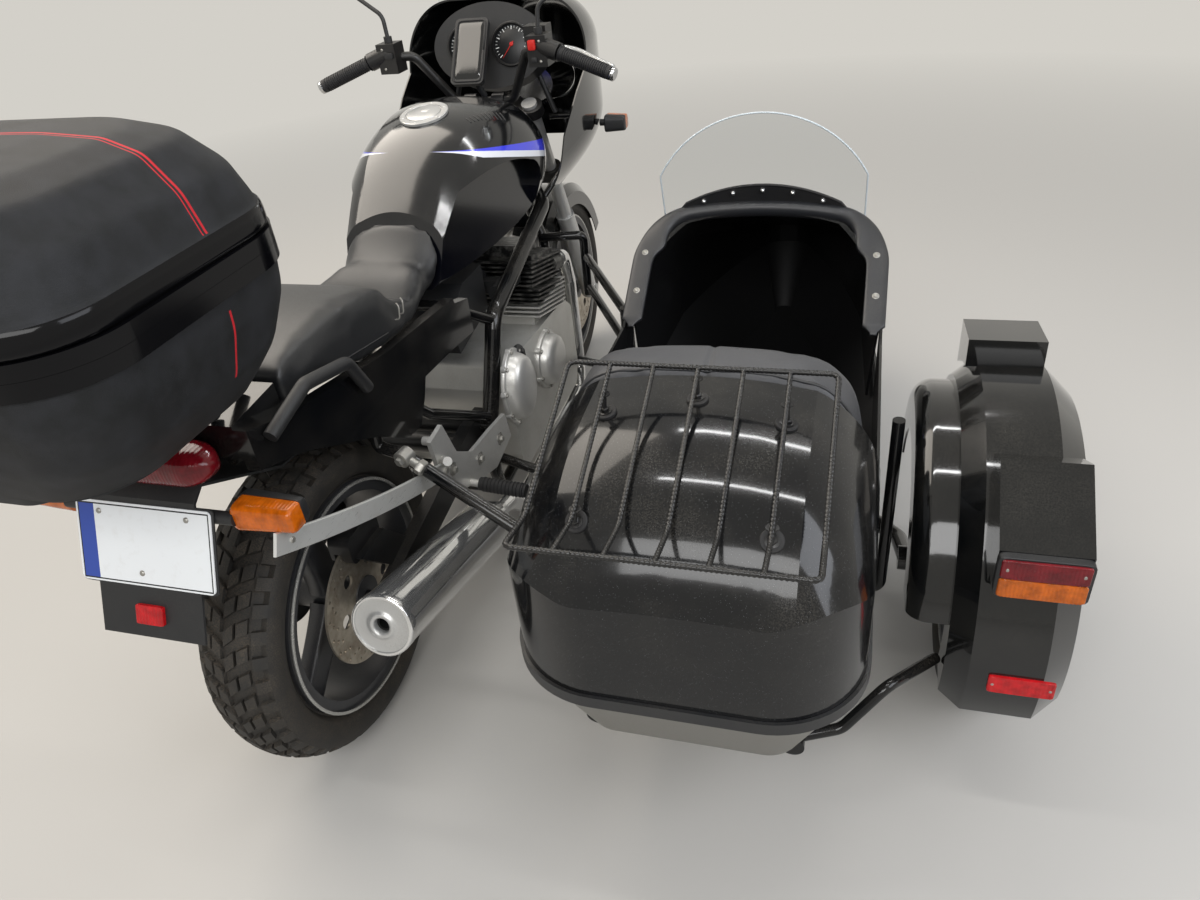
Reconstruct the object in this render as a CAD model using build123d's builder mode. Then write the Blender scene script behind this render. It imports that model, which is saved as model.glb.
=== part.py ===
from build123d import *
import os
from math import cos, radians, sin, sqrt

# A motorcycle with a sidecar on its right-hand side. Millimetres.
# The pieces are modelled about the motorcycle: X to the right of its middle plane, Y forward
# of its rear axle, Z above the ground. They are moved to the middle of the outfit when written.

os.makedirs("parts", exist_ok=True)

# Overall layout
wheelbase = 1495
front_axle_y = 1495
rake = 26
fork_offset = 33
running_gap = 0.05
seat_gap = 0.3

# Wheels: radius and width of each tyre, rim seat radius, half the width between the rim flanges
rear_tyre_radius = 317
rear_tyre_width = 150
rear_rim_seat = 213
rear_rim_half = 57
front_tyre_radius = 300
front_tyre_width = 118
front_rim_seat = 213
front_rim_half = 46
side_tyre_radius = 265
side_tyre_width = 146
side_rim_seat = 163
side_rim_half = 58
rim_flange = 17
rim_wall = 8
axle_radius = 10
hub_radius = 38

# Motorcycle places
side_tube_radius = 19
muffler_radius = 58
muffler_x = 207
disc_thickness = 5
disc_drilling = 3.5
rear_disc_radius = 134
front_disc_radius = 149
fork_x = 102
stanchion_radius = 20.5
slider_radius = 27
bar_radius = 11
grip_radius = 17
bar_half = 368
tail_half = 163

# Engine
crank_y = 800
crank_z = 395
lean = 14
crankcase_half = 190
block_half = 196
block_depth = 205
barrel_fins = 7
head_fins = 6
fin_pitch = 11
fin_thickness = 4

# Luggage case
case_length = 400
case_width = 574
case_rear = -555
case_floor = 945
case_split = 1122
case_roof = 1256
case_wall = 4

# Sidecar
side_x = 738
side_wheel_x = 1235
side_wheel_y = 330
tub_half = 275
tub_rear = -240
tub_nose = 1630
tub_corner = 150
tub_wall = 5
band_z = 412
band_height = 22
tub_floor = 225
floor_inset = 90
sill_z = 600
deck_front_y = 118
deck_front_z = 778
hoop_foot_y = 623
hoop_top_y = 898
hoop_top_z = 772
rack_half = 203
rack_wire = 4
fender_radius = 350
fender_wall = 4
fender_left = 1142
fender_right = 1332
fender_centre_y = 360
fender_centre_z = 300
guard_radius = 310
guard_left = 1074
guard_right = 1144

# Places that follow from the sizes above
rear_axle_y = front_axle_y - wheelbase
rear_axle = (0, rear_axle_y, rear_tyre_radius)
front_axle = (0, front_axle_y, front_tyre_radius)
side_axle = (side_wheel_x, side_wheel_y, side_tyre_radius)
steer_lean = radians(rake)
steer_foot = (
    0,
    front_axle_y - fork_offset * cos(steer_lean),
    front_tyre_radius - fork_offset * sin(steer_lean),
)


def beside(x, y=0, z=0):
    """Plane that looks along X: its own x is Y and its own y is Z."""
    return Plane(origin=(x, y, z), x_dir=(0, 1, 0), z_dir=(1, 0, 0))


def across(y, x=0, z=0):
    """Plane that looks along Y: its own x is X, its own y is Z, and it extrudes backwards."""
    return Plane(origin=(x, y, z), x_dir=(1, 0, 0), z_dir=(0, -1, 0))


def fork_plane(along, x=0, ahead=0):
    """Plane square to the steering axis, this far up it from beside the front axle."""
    return Plane(
        origin=(
            x,
            steer_foot[1] - along * sin(steer_lean) + ahead * cos(steer_lean),
            steer_foot[2] + along * cos(steer_lean) + ahead * sin(steer_lean),
        ),
        x_dir=(1, 0, 0),
        z_dir=(0, -sin(steer_lean), cos(steer_lean)),
    )


def fork_point(x, ahead, along):
    """Point given sideways, ahead of the steering axis and up it."""
    return tuple(fork_plane(along, x, ahead).origin)


def bar(points, radius, bend=0):
    """Round bar along straight runs joined by arcs, added to the open piece."""
    with BuildLine() as route:
        if bend:
            FilletPolyline(*points, radius=bend)
        else:
            Polyline(*points)
    with BuildSketch(Plane(origin=route.line @ 0, z_dir=route.line % 0)) as section:
        Circle(radius)
    sweep(section.sketch, path=route.line, transition=Transition.ROUND)


def rod(start, end, radius, mode=Mode.ADD):
    """Straight round rod between two points."""
    first = Vector(*start)
    run = Vector(*end) - first
    with BuildSketch(Plane(origin=first, z_dir=run.normalized())) as section:
        Circle(radius)
    extrude(section.sketch, amount=run.length, mode=mode)


def turned_about(centre, outline):
    """Revolve an outline of (x, radius) points about a wheel's axle."""
    with BuildSketch(Plane(origin=centre, x_dir=(1, 0, 0), z_dir=(0, 0, 1))) as section:
        with BuildLine():
            Polyline(*outline, close=True)
        make_face()
    revolve(section.sketch, axis=Axis(centre, (1, 0, 0)))


def tyre(centre, radius, width, rim_seat, rim_half):
    """Tyre ring seated between the rim flanges, with bulged walls and a crowned tread."""
    bead = rim_half - seat_gap
    inner = rim_seat + seat_gap
    wall_foot = rim_seat + rim_flange + 4
    shoulder = radius - width * 0.15
    bulge = (wall_foot + shoulder) / 2
    tread_half = width * 0.44
    with BuildSketch(Plane(origin=centre, x_dir=(1, 0, 0), z_dir=(0, 0, 1))) as section:
        with BuildLine():
            Polyline((bead, wall_foot), (bead, inner), (-bead, inner), (-bead, wall_foot))
            ThreePointArc((-bead, wall_foot), (-width / 2, bulge), (-tread_half, shoulder))
            ThreePointArc((-tread_half, shoulder), (0, radius), (tread_half, shoulder))
            ThreePointArc((tread_half, shoulder), (width / 2, bulge), (bead, wall_foot))
        make_face()
    revolve(section.sketch, axis=Axis(centre, (1, 0, 0)))


def wheel_plane(centre, start):
    """Plane through a wheel's axle: own x along the axle, own y this many degrees above forwards."""
    turn = radians(start)
    return Plane(origin=centre, x_dir=(1, 0, 0), z_dir=(0, -sin(turn), cos(turn)))


def cast_rim(centre, rim_seat, rim_half, hub_half, spoke_width, spoke_thickness, start):
    """Cast wheel: barrel with two flanges, three spokes and a bored hub."""
    flange = rim_half + rim_wall
    top = rim_seat + rim_flange
    floor = rim_seat - rim_wall
    turned_about(
        centre,
        [
            (-flange, floor),
            (flange, floor),
            (flange, top),
            (rim_half, top),
            (rim_half, rim_seat),
            (-rim_half, rim_seat),
            (-rim_half, top),
            (-flange, top),
        ],
    )
    bore = axle_radius + running_gap
    turned_about(
        centre, [(-hub_half, bore), (hub_half, bore), (hub_half, hub_radius), (-hub_half, hub_radius)]
    )
    reach = floor + rim_wall / 2 - hub_radius + 4
    with BuildSketch(beside(centre[0] - spoke_thickness / 2, centre[1], centre[2])) as spokes:
        with PolarLocations(hub_radius - 4 + reach / 2, 3, start):
            Rectangle(reach, spoke_width)
    extrude(spokes.sketch, amount=spoke_thickness)


def brake_disc(centre, x, radius, thickness):
    """Flat brake disc with its carrier, bored to clear the axle."""
    with BuildSketch(beside(x - thickness / 2, centre[1], centre[2])) as outline:
        Circle(radius)
        Circle(radius - 38, mode=Mode.SUBTRACT)
        Circle(radius - 37)
        Circle(hub_radius + seat_gap, mode=Mode.SUBTRACT)
        with PolarLocations(radius - 58, 6):
            Circle(14, mode=Mode.SUBTRACT)
        for inside_edge, start_angle in ((8, 0), (18, 6), (28, 12)):
            with PolarLocations(radius - inside_edge, 20, start_angle):
                Circle(disc_drilling, mode=Mode.SUBTRACT)
    extrude(outline.sketch, amount=thickness)


# Rear wheel
rear_hub_half = 66
rear_disc_x = 75
with BuildPart() as rear_tyre:
    tyre(rear_axle, rear_tyre_radius, rear_tyre_width, rear_rim_seat, rear_rim_half)

with BuildPart() as rear_rim:
    cast_rim(rear_axle, rear_rim_seat, rear_rim_half, rear_hub_half, 52, 34, 100)
    with BuildSketch(beside(rear_hub_half, 0, rear_tyre_radius)):
        Circle(hub_radius)
        Circle(axle_radius + running_gap, mode=Mode.SUBTRACT)
    extrude(amount=rear_disc_x + disc_thickness / 2 + 3 - rear_hub_half)

with BuildPart() as rear_disc:
    brake_disc(rear_axle, rear_disc_x, rear_disc_radius, disc_thickness)

# Front wheel
front_hub_half = 60
front_disc_x = 66
with BuildPart() as front_tyre:
    tyre(front_axle, front_tyre_radius, front_tyre_width, front_rim_seat, front_rim_half)

with BuildPart() as front_rim:
    cast_rim(front_axle, front_rim_seat, front_rim_half, front_hub_half + 10, 46, 30, 90)

with BuildPart() as front_discs:
    for side in (-1, 1):
        brake_disc(front_axle, side * front_disc_x, front_disc_radius, disc_thickness)

# Sidecar wheel
side_hub_half = 46
with BuildPart() as sidecar_tyre:
    tyre(side_axle, side_tyre_radius, side_tyre_width, side_rim_seat, side_rim_half)

with BuildPart() as sidecar_rim:
    cast_rim(side_axle, side_rim_seat, side_rim_half, side_hub_half, 60, 22, 90)

# Steering head and frame
head_low = 520
head_high = 690
head_radius = 31
stem_radius = 15
pivot = (0, 500, 395)
plate_x = 198
backbone_front = (0, 1185, 800)
backbone_rear = (0, 490, 710)
backbone_radius = 15
panel = 22
tab_reach = tail_half - panel - seat_gap
with BuildPart() as bike_frame:
    with BuildSketch(fork_plane(head_low)):
        Circle(head_radius)
    extrude(amount=head_high - head_low)
    head_mid = fork_point(0, 0, (head_low + head_high) / 2)
    for side in (-1, 1):
        bar(
            [
                (side * 22, head_mid[1] - 12, head_mid[2] + 20),
                (side * 158, 1035, 738),
                (side * 168, 600, 628),
                (side * 160, pivot[1], pivot[2] + 10),
            ],
            side_tube_radius,
            60,
        )
        bar(
            [
                (side * 16, head_mid[1] + 8, head_mid[2] - 39),
                (side * 108, 1130, 600),
                (side * 108, 1105, 176),
                (side * 128, 560, 168),
                (side * 152, pivot[1] - 6, 270),
                (side * 160, pivot[1], pivot[2]),
            ],
            15,
            36,
        )
        bar(
            [
                (side * 166, 590, 622),
                (side * 124, 500, 690),
                (side * 112, 180, 722),
                (side * 100, -210, 792),
            ],
            12,
            40,
        )
        bar([(side * 160, 492, 425), (side * 128, 300, 550), (side * 111, 130, 724)], 12, 40)
        rod((side * 152, 1032, 740), (side * 230.2, 1152, 852), 8)
        rod((side * 154, pivot[1], pivot[2]), (side * (plate_x - seat_gap), pivot[1], pivot[2]), 13)
    bar([(108, 1118, 612), (222, 1142, 612), (222, 1134, 440)], 12, 16)
    bar([(112, 110, 722), (124, 108, 640), (124, 106, 598), (168, 103, 590)], 12, 14)
    rod(backbone_front, backbone_rear, backbone_radius)
    rod((-124, 500, 698), (124, 500, 698), 12)
    for x, y in ((111, 1000), (124, 660)):
        for side in (-1, 1):
            rod((side * x, y, 172), (side * x, y, 205 + (1030 - y) / 88 - seat_gap), 12)
    rod((-160, pivot[1], pivot[2]), (160, pivot[1], pivot[2]), 17)
    rod((-130, 560, 168), (130, 560, 168), 14)
    rod((-tab_reach, 180, 722), (tab_reach, 180, 722), 12)
    rod((-tab_reach, -190, 788), (tab_reach, -190, 788), 12)
    rod((-165, 960, 716), (165, 960, 716), 14)
    with BuildSketch(fork_plane(head_low - 10)):
        Circle(stem_radius + running_gap)
    extrude(amount=head_high - head_low + 20, mode=Mode.SUBTRACT)

# Engine: crankcase, then the finned cylinders and head that lean forwards
case_top = 500
barrel_plane = Plane(
    origin=(0, crank_y + 82, crank_z),
    x_dir=(1, 0, 0),
    z_dir=(0, sin(radians(lean)), cos(radians(lean))),
)
barrel_base = 100
barrel_height = barrel_fins * fin_pitch + 4
head_height = head_fins * fin_pitch + 8
head_half = 184
cover_half = 130
with BuildPart() as engine:
    with BuildSketch(beside(-crankcase_half)):
        with BuildLine():
            Polyline(
                (590, 210),
                (1030, 205),
                (1062, 260),
                (1060, 440),
                (1010, case_top - 20),
                (592, case_top + 10),
                (576, 440),
                (576, 260),
                close=True,
            )
        make_face()
    extrude(amount=2 * crankcase_half)
    fillet(engine.edges().filter_by(Axis.X), 18)
    with Locations(barrel_plane.offset(60)):
        Box(
            2 * block_half - 50,
            block_depth - 50,
            barrel_base - 60 + barrel_height + head_height,
            align=(Align.CENTER, Align.CENTER, Align.MIN),
        )
    for index in range(barrel_fins):
        with Locations(barrel_plane.offset(barrel_base + 6 + index * fin_pitch)):
            Box(2 * block_half, block_depth, fin_thickness, align=(Align.CENTER, Align.CENTER, Align.MIN))
    for index in range(head_fins):
        with Locations(barrel_plane.offset(barrel_base + barrel_height + 4 + index * fin_pitch)):
            Box(
                2 * head_half,
                block_depth + 24,
                fin_thickness,
                align=(Align.CENTER, Align.CENTER, Align.MIN),
            )
    for x in (-165, -50, 50, 165):
        rod((x, 992, 586), (x, 1052 - seat_gap, 576 + seat_gap / 6), 24)
    with Locations(barrel_plane.offset(barrel_base + barrel_height + head_height)):
        Box(2 * cover_half, block_depth - 20, 26, align=(Align.CENTER, Align.CENTER, Align.MIN))

with BuildPart() as engine_covers:
    for side in (-1, 1):
        with BuildSketch(beside(side * (crankcase_half + seat_gap))):
            with Locations((592, 450)):
                Ellipse(70, 96)
        extrude(amount=side * 46)
        with BuildSketch(beside(side * (crankcase_half + seat_gap))):
            with Locations((crank_y + 20, crank_z + 5)):
                Circle(76)
        extrude(amount=side * 42)

with BuildPart() as carburettors:
    for x in (-135, -45, 45, 135):
        rod((x, 816.7, 628), (x, 712, 628), 22)
    with Locations((0, 765, 628)):
        Box(290, 34, 30)
    with BuildSketch(beside(-100)):
        with BuildLine():
            Polyline((724, 590), (724, 700), (610, 700), (520, 640), (540, 560), close=True)
        make_face()
    extrude(amount=200)

# Exhaust
muffler_tail = (muffler_x + 4, -147, 404)
muffler_nose = (muffler_x - 6, 383, 240)
with BuildPart() as exhaust:
    for side in (-1, 1):
        nose = Vector(side * muffler_nose[0], muffler_nose[1], muffler_nose[2])
        tail = Vector(side * muffler_tail[0], muffler_tail[1], muffler_tail[2])
        run = tail - nose
        ahead = nose - run.normalized() * 60
        for x in (50, 165):
            rod((side * x, 1052, 576), (side * x, 1064, 574), 26)
        bar(
            [
                (side * 165, 1052, 576),
                (side * 165, 1112, 566),
                (side * 165, 1140, 480),
                (side * 165, 1140, 200),
                (side * 178, 1080, 150),
                (side * 188, 520, 150),
                tuple(ahead),
                tuple(nose + run.normalized() * 10),
            ],
            19,
            34,
        )
        bar(
            [
                (side * 50, 1052, 576),
                (side * 50, 1112, 566),
                (side * 50, 1140, 480),
                (side * 50, 1140, 200),
                (side * 60, 1080, 132),
                (side * 112, 900, 130),
                (side * 172, 822, 144),
            ],
            19,
            34,
        )
        lie = Plane(origin=nose, x_dir=(1, 0, 0), z_dir=run.normalized())
        with BuildSketch(lie) as throat:
            Circle(22)
        with BuildSketch(lie.offset(95)) as shell_front:
            Circle(muffler_radius)
        loft([throat.sketch, shell_front.sketch])
        extrude(shell_front.sketch, amount=run.length - 95 - 14)
        with BuildSketch(lie.offset(run.length - 14)) as cap:
            Circle(muffler_radius - 4)
        extrude(cap.sketch, amount=14)
        with BuildSketch(lie.offset(run.length - 60)) as outlet:
            Circle(15)
        extrude(outlet.sketch, amount=80, mode=Mode.SUBTRACT)

# Swing arm with the rear axle, the shaft housing on the left and the brake caliper on the right
arm_x = 126
arm_half = 14
shaft_x = -112
drive_half = 31
sleeve_half = 132
caliper_gap = 5
with BuildPart() as swing_arm:
    with BuildSketch(beside(arm_x - arm_half)) as arm_side:
        with BuildLine():
            Polyline(
                (528, 425), (528, 365), (470, 355), (rear_axle_y, rear_tyre_radius - 32),
                (rear_axle_y - 34, rear_tyre_radius), (rear_axle_y, rear_tyre_radius + 30), (440, 430),
                close=True,
            )
        make_face()
    extrude(arm_side.sketch, amount=2 * arm_half)
    rod((shaft_x, 470, 388), (shaft_x, rear_axle_y + 70, rear_tyre_radius + 7), 29)
    drive_ends = [(shaft_x + end * drive_half, rear_axle_y, rear_tyre_radius) for end in (-1, 1)]
    rod(drive_ends[0], drive_ends[1], 78)
    rod((-sleeve_half, pivot[1], pivot[2]), (sleeve_half, pivot[1], pivot[2]), 31)
    rod((shaft_x, 430, 385), (arm_x, 430, 385), 24)
    bore_end = sleeve_half + 12
    rod((-bore_end, pivot[1], pivot[2]), (bore_end, pivot[1], pivot[2]), 17 + seat_gap, Mode.SUBTRACT)
    rod(
        (shaft_x, rear_axle_y, rear_tyre_radius), (arm_x + arm_half + 8, rear_axle_y, rear_tyre_radius),
        axle_radius,
    )
    reach = disc_thickness / 2 + caliper_gap
    with BuildSketch(beside(rear_disc_x + reach, rear_axle_y, rear_tyre_radius)) as caliper_carrier:
        with BuildLine():
            Polyline((-30, 123), (60, 123), (120, 55), (90, 23), (60, 28), close=True)
        make_face()
    extrude(caliper_carrier.sketch, amount=arm_x - arm_half - rear_disc_x - reach + 6)
    with BuildSketch(beside(rear_disc_x - reach - 8, rear_axle_y, rear_tyre_radius)) as caliper:
        with Locations((14, rear_disc_radius + 4)):
            RectangleRounded(104, 60, 16)
    extrude(caliper.sketch, amount=44)
    with BuildSketch(beside(rear_disc_x - reach, rear_axle_y, rear_tyre_radius)) as slot:
        Circle(rear_disc_radius + caliper_gap)
    extrude(slot.sketch, amount=2 * reach, mode=Mode.SUBTRACT)

# Footrest carriers, pegs and the bright strap to the rear indicator


def peg_point(side, share):
    """Point on a footrest's rod, from 0 at its plate to 1 at its tip."""
    return (side * (plate_x + 5 + 123 * share), 270 - 4 * share, 405 - 7 * share)


with BuildPart() as footrest_carriers:
    for side in (-1, 1):
        with BuildSketch(beside(side * plate_x)):
            with BuildLine():
                Polyline(
                    (150, 585), (205, 590), (238, 505), (300, 462), (400, 452), (486, 440),
                    (500, 372), (400, 352), (300, 385), (205, 425), (165, 480),
                    close=True,
                )
            make_face()
            with Locations((440, 402), (330, 424), (210, 480)):
                Circle(15, mode=Mode.SUBTRACT)
        extrude(amount=side * 9)
        rod(peg_point(side, 0), peg_point(side, 1), 8)
        rod((side * (plate_x + 5), 186, 520), (side * (plate_x + 36), 150, 545), 9)
        rod((side * 168, 190, 560), (side * (plate_x + 5), 190, 560), 9)
    with BuildSketch(beside(plate_x + 9 + seat_gap)) as strap:
        with BuildLine():
            ThreePointArc((190, 500), (-40, 590), (-290, 712))
        trace(line_width=28)
    extrude(strap.sketch, amount=4)

with BuildPart() as peg_rubbers:
    for side in (-1, 1):
        rod(peg_point(side, 0.2), peg_point(side, 1.04), 16)
        rod(peg_point(side, 0.1), peg_point(side, 1), 8 + seat_gap, Mode.SUBTRACT)

# Fuel tank: y, bottom, half width at the foot, widest half, top half, top
tank_sections = [
    (442, 742, 76, 100, 62, 806),
    (560, 738, 104, 140, 80, 882),
    (720, 738, 130, 186, 108, 1000),
    (880, 748, 150, 204, 120, 1032),
    (1000, 776, 150, 196, 118, 1014),
    (1062, 806, 118, 156, 90, 968),
]
seat_joint = Plane(origin=(0, 470, 700), x_dir=(1, 0, 0), z_dir=(0, 165, -82))
knee_depth = 118
with BuildPart() as tank_form:
    for y, bottom, foot, wide, flat, top in tank_sections:
        rise = top - bottom
        with BuildSketch(across(y, 0, bottom)):
            with BuildLine():
                Line((-foot, 0), (foot, 0))
                ThreePointArc((foot, 0), (wide, rise * 0.45), (flat, rise * 0.93))
                ThreePointArc((flat, rise * 0.93), (0, rise), (-flat, rise * 0.93))
                ThreePointArc((-flat, rise * 0.93), (-wide, rise * 0.45), (-foot, 0))
            make_face()
    loft()
    rod(backbone_front, backbone_rear, backbone_radius + seat_gap, Mode.SUBTRACT)

with BuildPart() as fuel_tank:
    add(tank_form.part)
    split(bisect_by=seat_joint.offset(seat_gap), keep=Keep.TOP)
    for side in (-1, 1):
        knee = Plane(
            origin=(side * knee_depth, 560, 0), x_dir=(side * 55, 390, 0), z_dir=(390, -side * 55, 0),
        )
        with BuildSketch(knee) as recess:
            with BuildLine():
                Polyline((-140, 720), (-140, 800), (-12, 872))
                ThreePointArc((-12, 872), (150, 922), (330, 896))
                ThreePointArc((330, 896), (366, 872), (372, 820))
                Polyline((372, 820), (372, 720), (-140, 720))
            make_face()
        extrude(recess.sketch, amount=side * 120, mode=Mode.SUBTRACT)

# Seat: side outline, then cut to its plan, with the nose that lies over the tank
with BuildPart() as seat:
    with BuildSketch(beside(-150)):
        with BuildLine():
            Polyline((-112, 880), (-118, 822), (150, 775), (452, 746), (452, 812))
            ThreePointArc((452, 812), (395, 797), (330, 800))
            ThreePointArc((330, 800), (262, 822), (215, 872))
            ThreePointArc((215, 872), (60, 897), (-112, 880))
        make_face()
    extrude(amount=300)
    with BuildSketch(Plane.XY.offset(700)):
        with BuildLine():
            Polyline((-104, 452), (104, 452))
            ThreePointArc((104, 452), (140, 330), (150, 200))
            Polyline((150, 200), (146, -118), (-146, -118), (-150, 200))
            ThreePointArc((-150, 200), (-140, 330), (-104, 452))
        make_face()
    extrude(amount=300, mode=Mode.INTERSECT)
    add(split(tank_form.part, bisect_by=seat_joint, keep=Keep.BOTTOM, mode=Mode.PRIVATE))

# Tail: side panels, rear cowl, inner mudguard with flap, lamp, plate
lamp_y = -232
with BuildPart() as tail_panels:
    for side in (-1, 1):
        with BuildSketch(beside(side * (tail_half - panel))):
            with BuildLine():
                Polyline(
                    (500, 718), (440, 734), (434, 747.8), (150, 774.6), (-117, 821.4), (lamp_y, 856),
                    (lamp_y, 790), (-139, 758), (60, 655), (150, 592), (205, 585), (240, 625),
                    (262, 662), (400, 652), (500, 640),
                    close=True,
                )
            make_face()
        extrude(amount=side * panel)
    with BuildSketch(beside(-tail_half + panel)):
        with BuildLine():
            Polyline((-124, 870), (-122, 818), (-150, 814), (lamp_y, 806), (lamp_y, 862), close=True)
        make_face()
    extrude(amount=2 * (tail_half - panel))

plate_lean = Plane(origin=(0, -325.5, 707.5), x_dir=(1, 0, 0), z_dir=(0, -194, 83))
flap_half = 90
with BuildPart() as rear_mudguard:
    with BuildSketch(beside(-flap_half)):
        with BuildLine():
            Polyline((178, 640), (60, 688), (-110, 704), (-272, 786), (-295, 770), (-378, 576))
        trace(line_width=4)
    extrude(amount=2 * flap_half)
    rod((-flap_half, -292, 748), (flap_half, -292, 748), 10)
    rod((0, -190, 743), (0, -190, 788 - 12 - seat_gap), 8)

with BuildPart() as number_plate:
    with BuildSketch(plate_lean.offset(-1.1)):
        RectangleRounded(234, 123, 8)
    extrude(amount=2)

with BuildPart() as tail_lamp:
    with BuildSketch(beside(-124)):
        with BuildLine():
            Polyline(
                (lamp_y - seat_gap, 846), (lamp_y - seat_gap, 792), (-272, 790), (-300, 806), (-290, 834),
                close=True,
            )
        make_face()
    extrude(amount=248)
    with BuildSketch(Plane(origin=(0, -365.6, 610.6), x_dir=(1, 0, 0), z_dir=(0, -194, 83))):
        RectangleRounded(48, 30, 4)
    extrude(amount=7)

with BuildPart() as indicators:
    for side in (-1, 1):
        with BuildSketch(beside(side * 140, -268, 746)) as lamp_root:
            RectangleRounded(56, 46, 12)
        with BuildSketch(beside(side * 235, -268, 746)) as lamp_tip:
            RectangleRounded(46, 40, 12)
        loft([lamp_root.sketch, lamp_tip.sketch])
        rod((side * (flap_half + seat_gap), -292, 748), (side * 146, -292, 748), 10)
        with BuildSketch(beside(side * 262, 1330, 862)) as lamp_root:
            RectangleRounded(58, 44, 12)
        with BuildSketch(beside(side * 318, 1330, 862)) as lamp_tip:
            RectangleRounded(48, 38, 12)
        loft([lamp_root.sketch, lamp_tip.sketch])
        rod((side * 244.1, 1330, 862), (side * 266, 1330, 862), 9)

# Luggage case and its carrier
case_y = case_rear + case_length / 2
hinge_y = case_rear + case_length + 9
pin_radius = 3
knuckle_radius = 7
with BuildPart() as rear_carrier:
    with BuildSketch(Plane.XY.offset(case_floor - 14)):
        with Locations((0, case_y)):
            RectangleRounded(260, 300, 40)
            RectangleRounded(180, 220, 30, mode=Mode.SUBTRACT)
            Rectangle(180, 26)
    extrude(amount=14 - seat_gap)
    for side in (-1, 1):
        for y, foot in ((-150, 875.9), (-215, 867.8)):
            rod((side * 105, y, foot), (side * 105, case_y + 100, case_floor - 8), 9)
        bar(
            [
                (side * (tail_half + 11.3), 52, 762),
                (side * (tail_half + 22), 0, 838),
                (side * (tail_half + 20), -110, 862),
                (side * (tail_half + 11.3), -204, 830),
            ],
            11,
            24,
        )


def case_tub(low, low_width, low_length, high, high_width, high_length, mode=Mode.ADD):
    """Tapered tub with rounded corners, lofted between two levels."""
    with BuildSketch(Plane.XY.offset(low)) as foot:
        with Locations((0, case_y)):
            RectangleRounded(low_width, low_length, 84)
    with BuildSketch(Plane.XY.offset(high)) as brim:
        with Locations((0, case_y)):
            RectangleRounded(high_width, high_length, 96)
    loft([foot.sketch, brim.sketch], mode=mode)


inner_width = case_width - 2 * case_wall
inner_length = case_length - 2 * case_wall
floor_width = case_width - 130
floor_length = case_length - 90
roof_width = case_width - 120
roof_length = case_length - 100
brim = 9
with BuildPart() as top_case_base:
    case_tub(case_floor, floor_width, floor_length, case_split - 26, case_width, case_length)
    with BuildSketch(Plane.XY.offset(case_split - 26)):
        with Locations((0, case_y)):
            RectangleRounded(case_width, case_length, 96)
    extrude(amount=26)
    with BuildSketch(Plane.XY.offset(case_split - 20)):
        with Locations((0, case_y)):
            RectangleRounded(case_width + 2 * brim, case_length + 2 * brim - 6, 102)
    extrude(amount=20)
    case_tub(
        case_floor + case_wall, floor_width - 8, floor_length - 8,
        case_split - 26, inner_width, inner_length,
        Mode.SUBTRACT,
    )
    with BuildSketch(Plane.XY.offset(case_split - 26)):
        with Locations((0, case_y)):
            RectangleRounded(inner_width, inner_length, 92)
    extrude(amount=30, mode=Mode.SUBTRACT)
    for x in (-150, 150):
        rod((x - 44, hinge_y, case_split), (x + 44, hinge_y, case_split), knuckle_radius + 3, Mode.SUBTRACT)
        rod((x - 12, hinge_y, case_split), (x + 12, hinge_y, case_split), knuckle_radius)
        with Locations((x, hinge_y - 7, case_split - 9)):
            Box(24, 12, 12)
        rod((x - 40, hinge_y, case_split), (x + 40, hinge_y, case_split), pin_radius)

lid_low = case_split + seat_gap
crown_rise = 20
crown_width = roof_width - 190
crown_length = roof_length - 90
with BuildPart() as top_case_lid:
    case_tub(lid_low + 24, case_width, case_length, case_roof, roof_width, roof_length)
    case_tub(case_roof, roof_width, roof_length, case_roof + crown_rise, crown_width, crown_length)
    with BuildSketch(Plane.XY.offset(lid_low)):
        with Locations((0, case_y)):
            RectangleRounded(case_width, case_length, 96)
    extrude(amount=24)
    with BuildSketch(Plane.XY.offset(lid_low)):
        with Locations((0, case_y)):
            RectangleRounded(case_width + 2 * brim, case_length + 2 * brim - 6, 102)
    extrude(amount=18)
    case_tub(
        lid_low + 24, inner_width, inner_length, case_roof - case_wall, roof_width - 8, roof_length - 8,
        Mode.SUBTRACT,
    )
    case_tub(
        case_roof - case_wall, roof_width - 8, roof_length - 8,
        case_roof + crown_rise - case_wall, crown_width - 8, crown_length - 8,
        Mode.SUBTRACT,
    )
    with BuildSketch(Plane.XY.offset(lid_low - 1)):
        with Locations((0, case_y)):
            RectangleRounded(inner_width, inner_length, 92)
    extrude(amount=25, mode=Mode.SUBTRACT)
    for x in (-150, 150):
        rod((x - 44, hinge_y, case_split), (x + 44, hinge_y, case_split), knuckle_radius + 3, Mode.SUBTRACT)
        for end in (-1, 1):
            rod((x + end * 14, hinge_y, case_split), (x + end * 36, hinge_y, case_split), knuckle_radius)
            with Locations((x + end * 25, hinge_y - 7, case_split + 9)):
                Box(22, 12, 12)
        rod(
            (x - 41, hinge_y, case_split), (x + 41, hinge_y, case_split), pin_radius + running_gap,
            Mode.SUBTRACT,
        )

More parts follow.
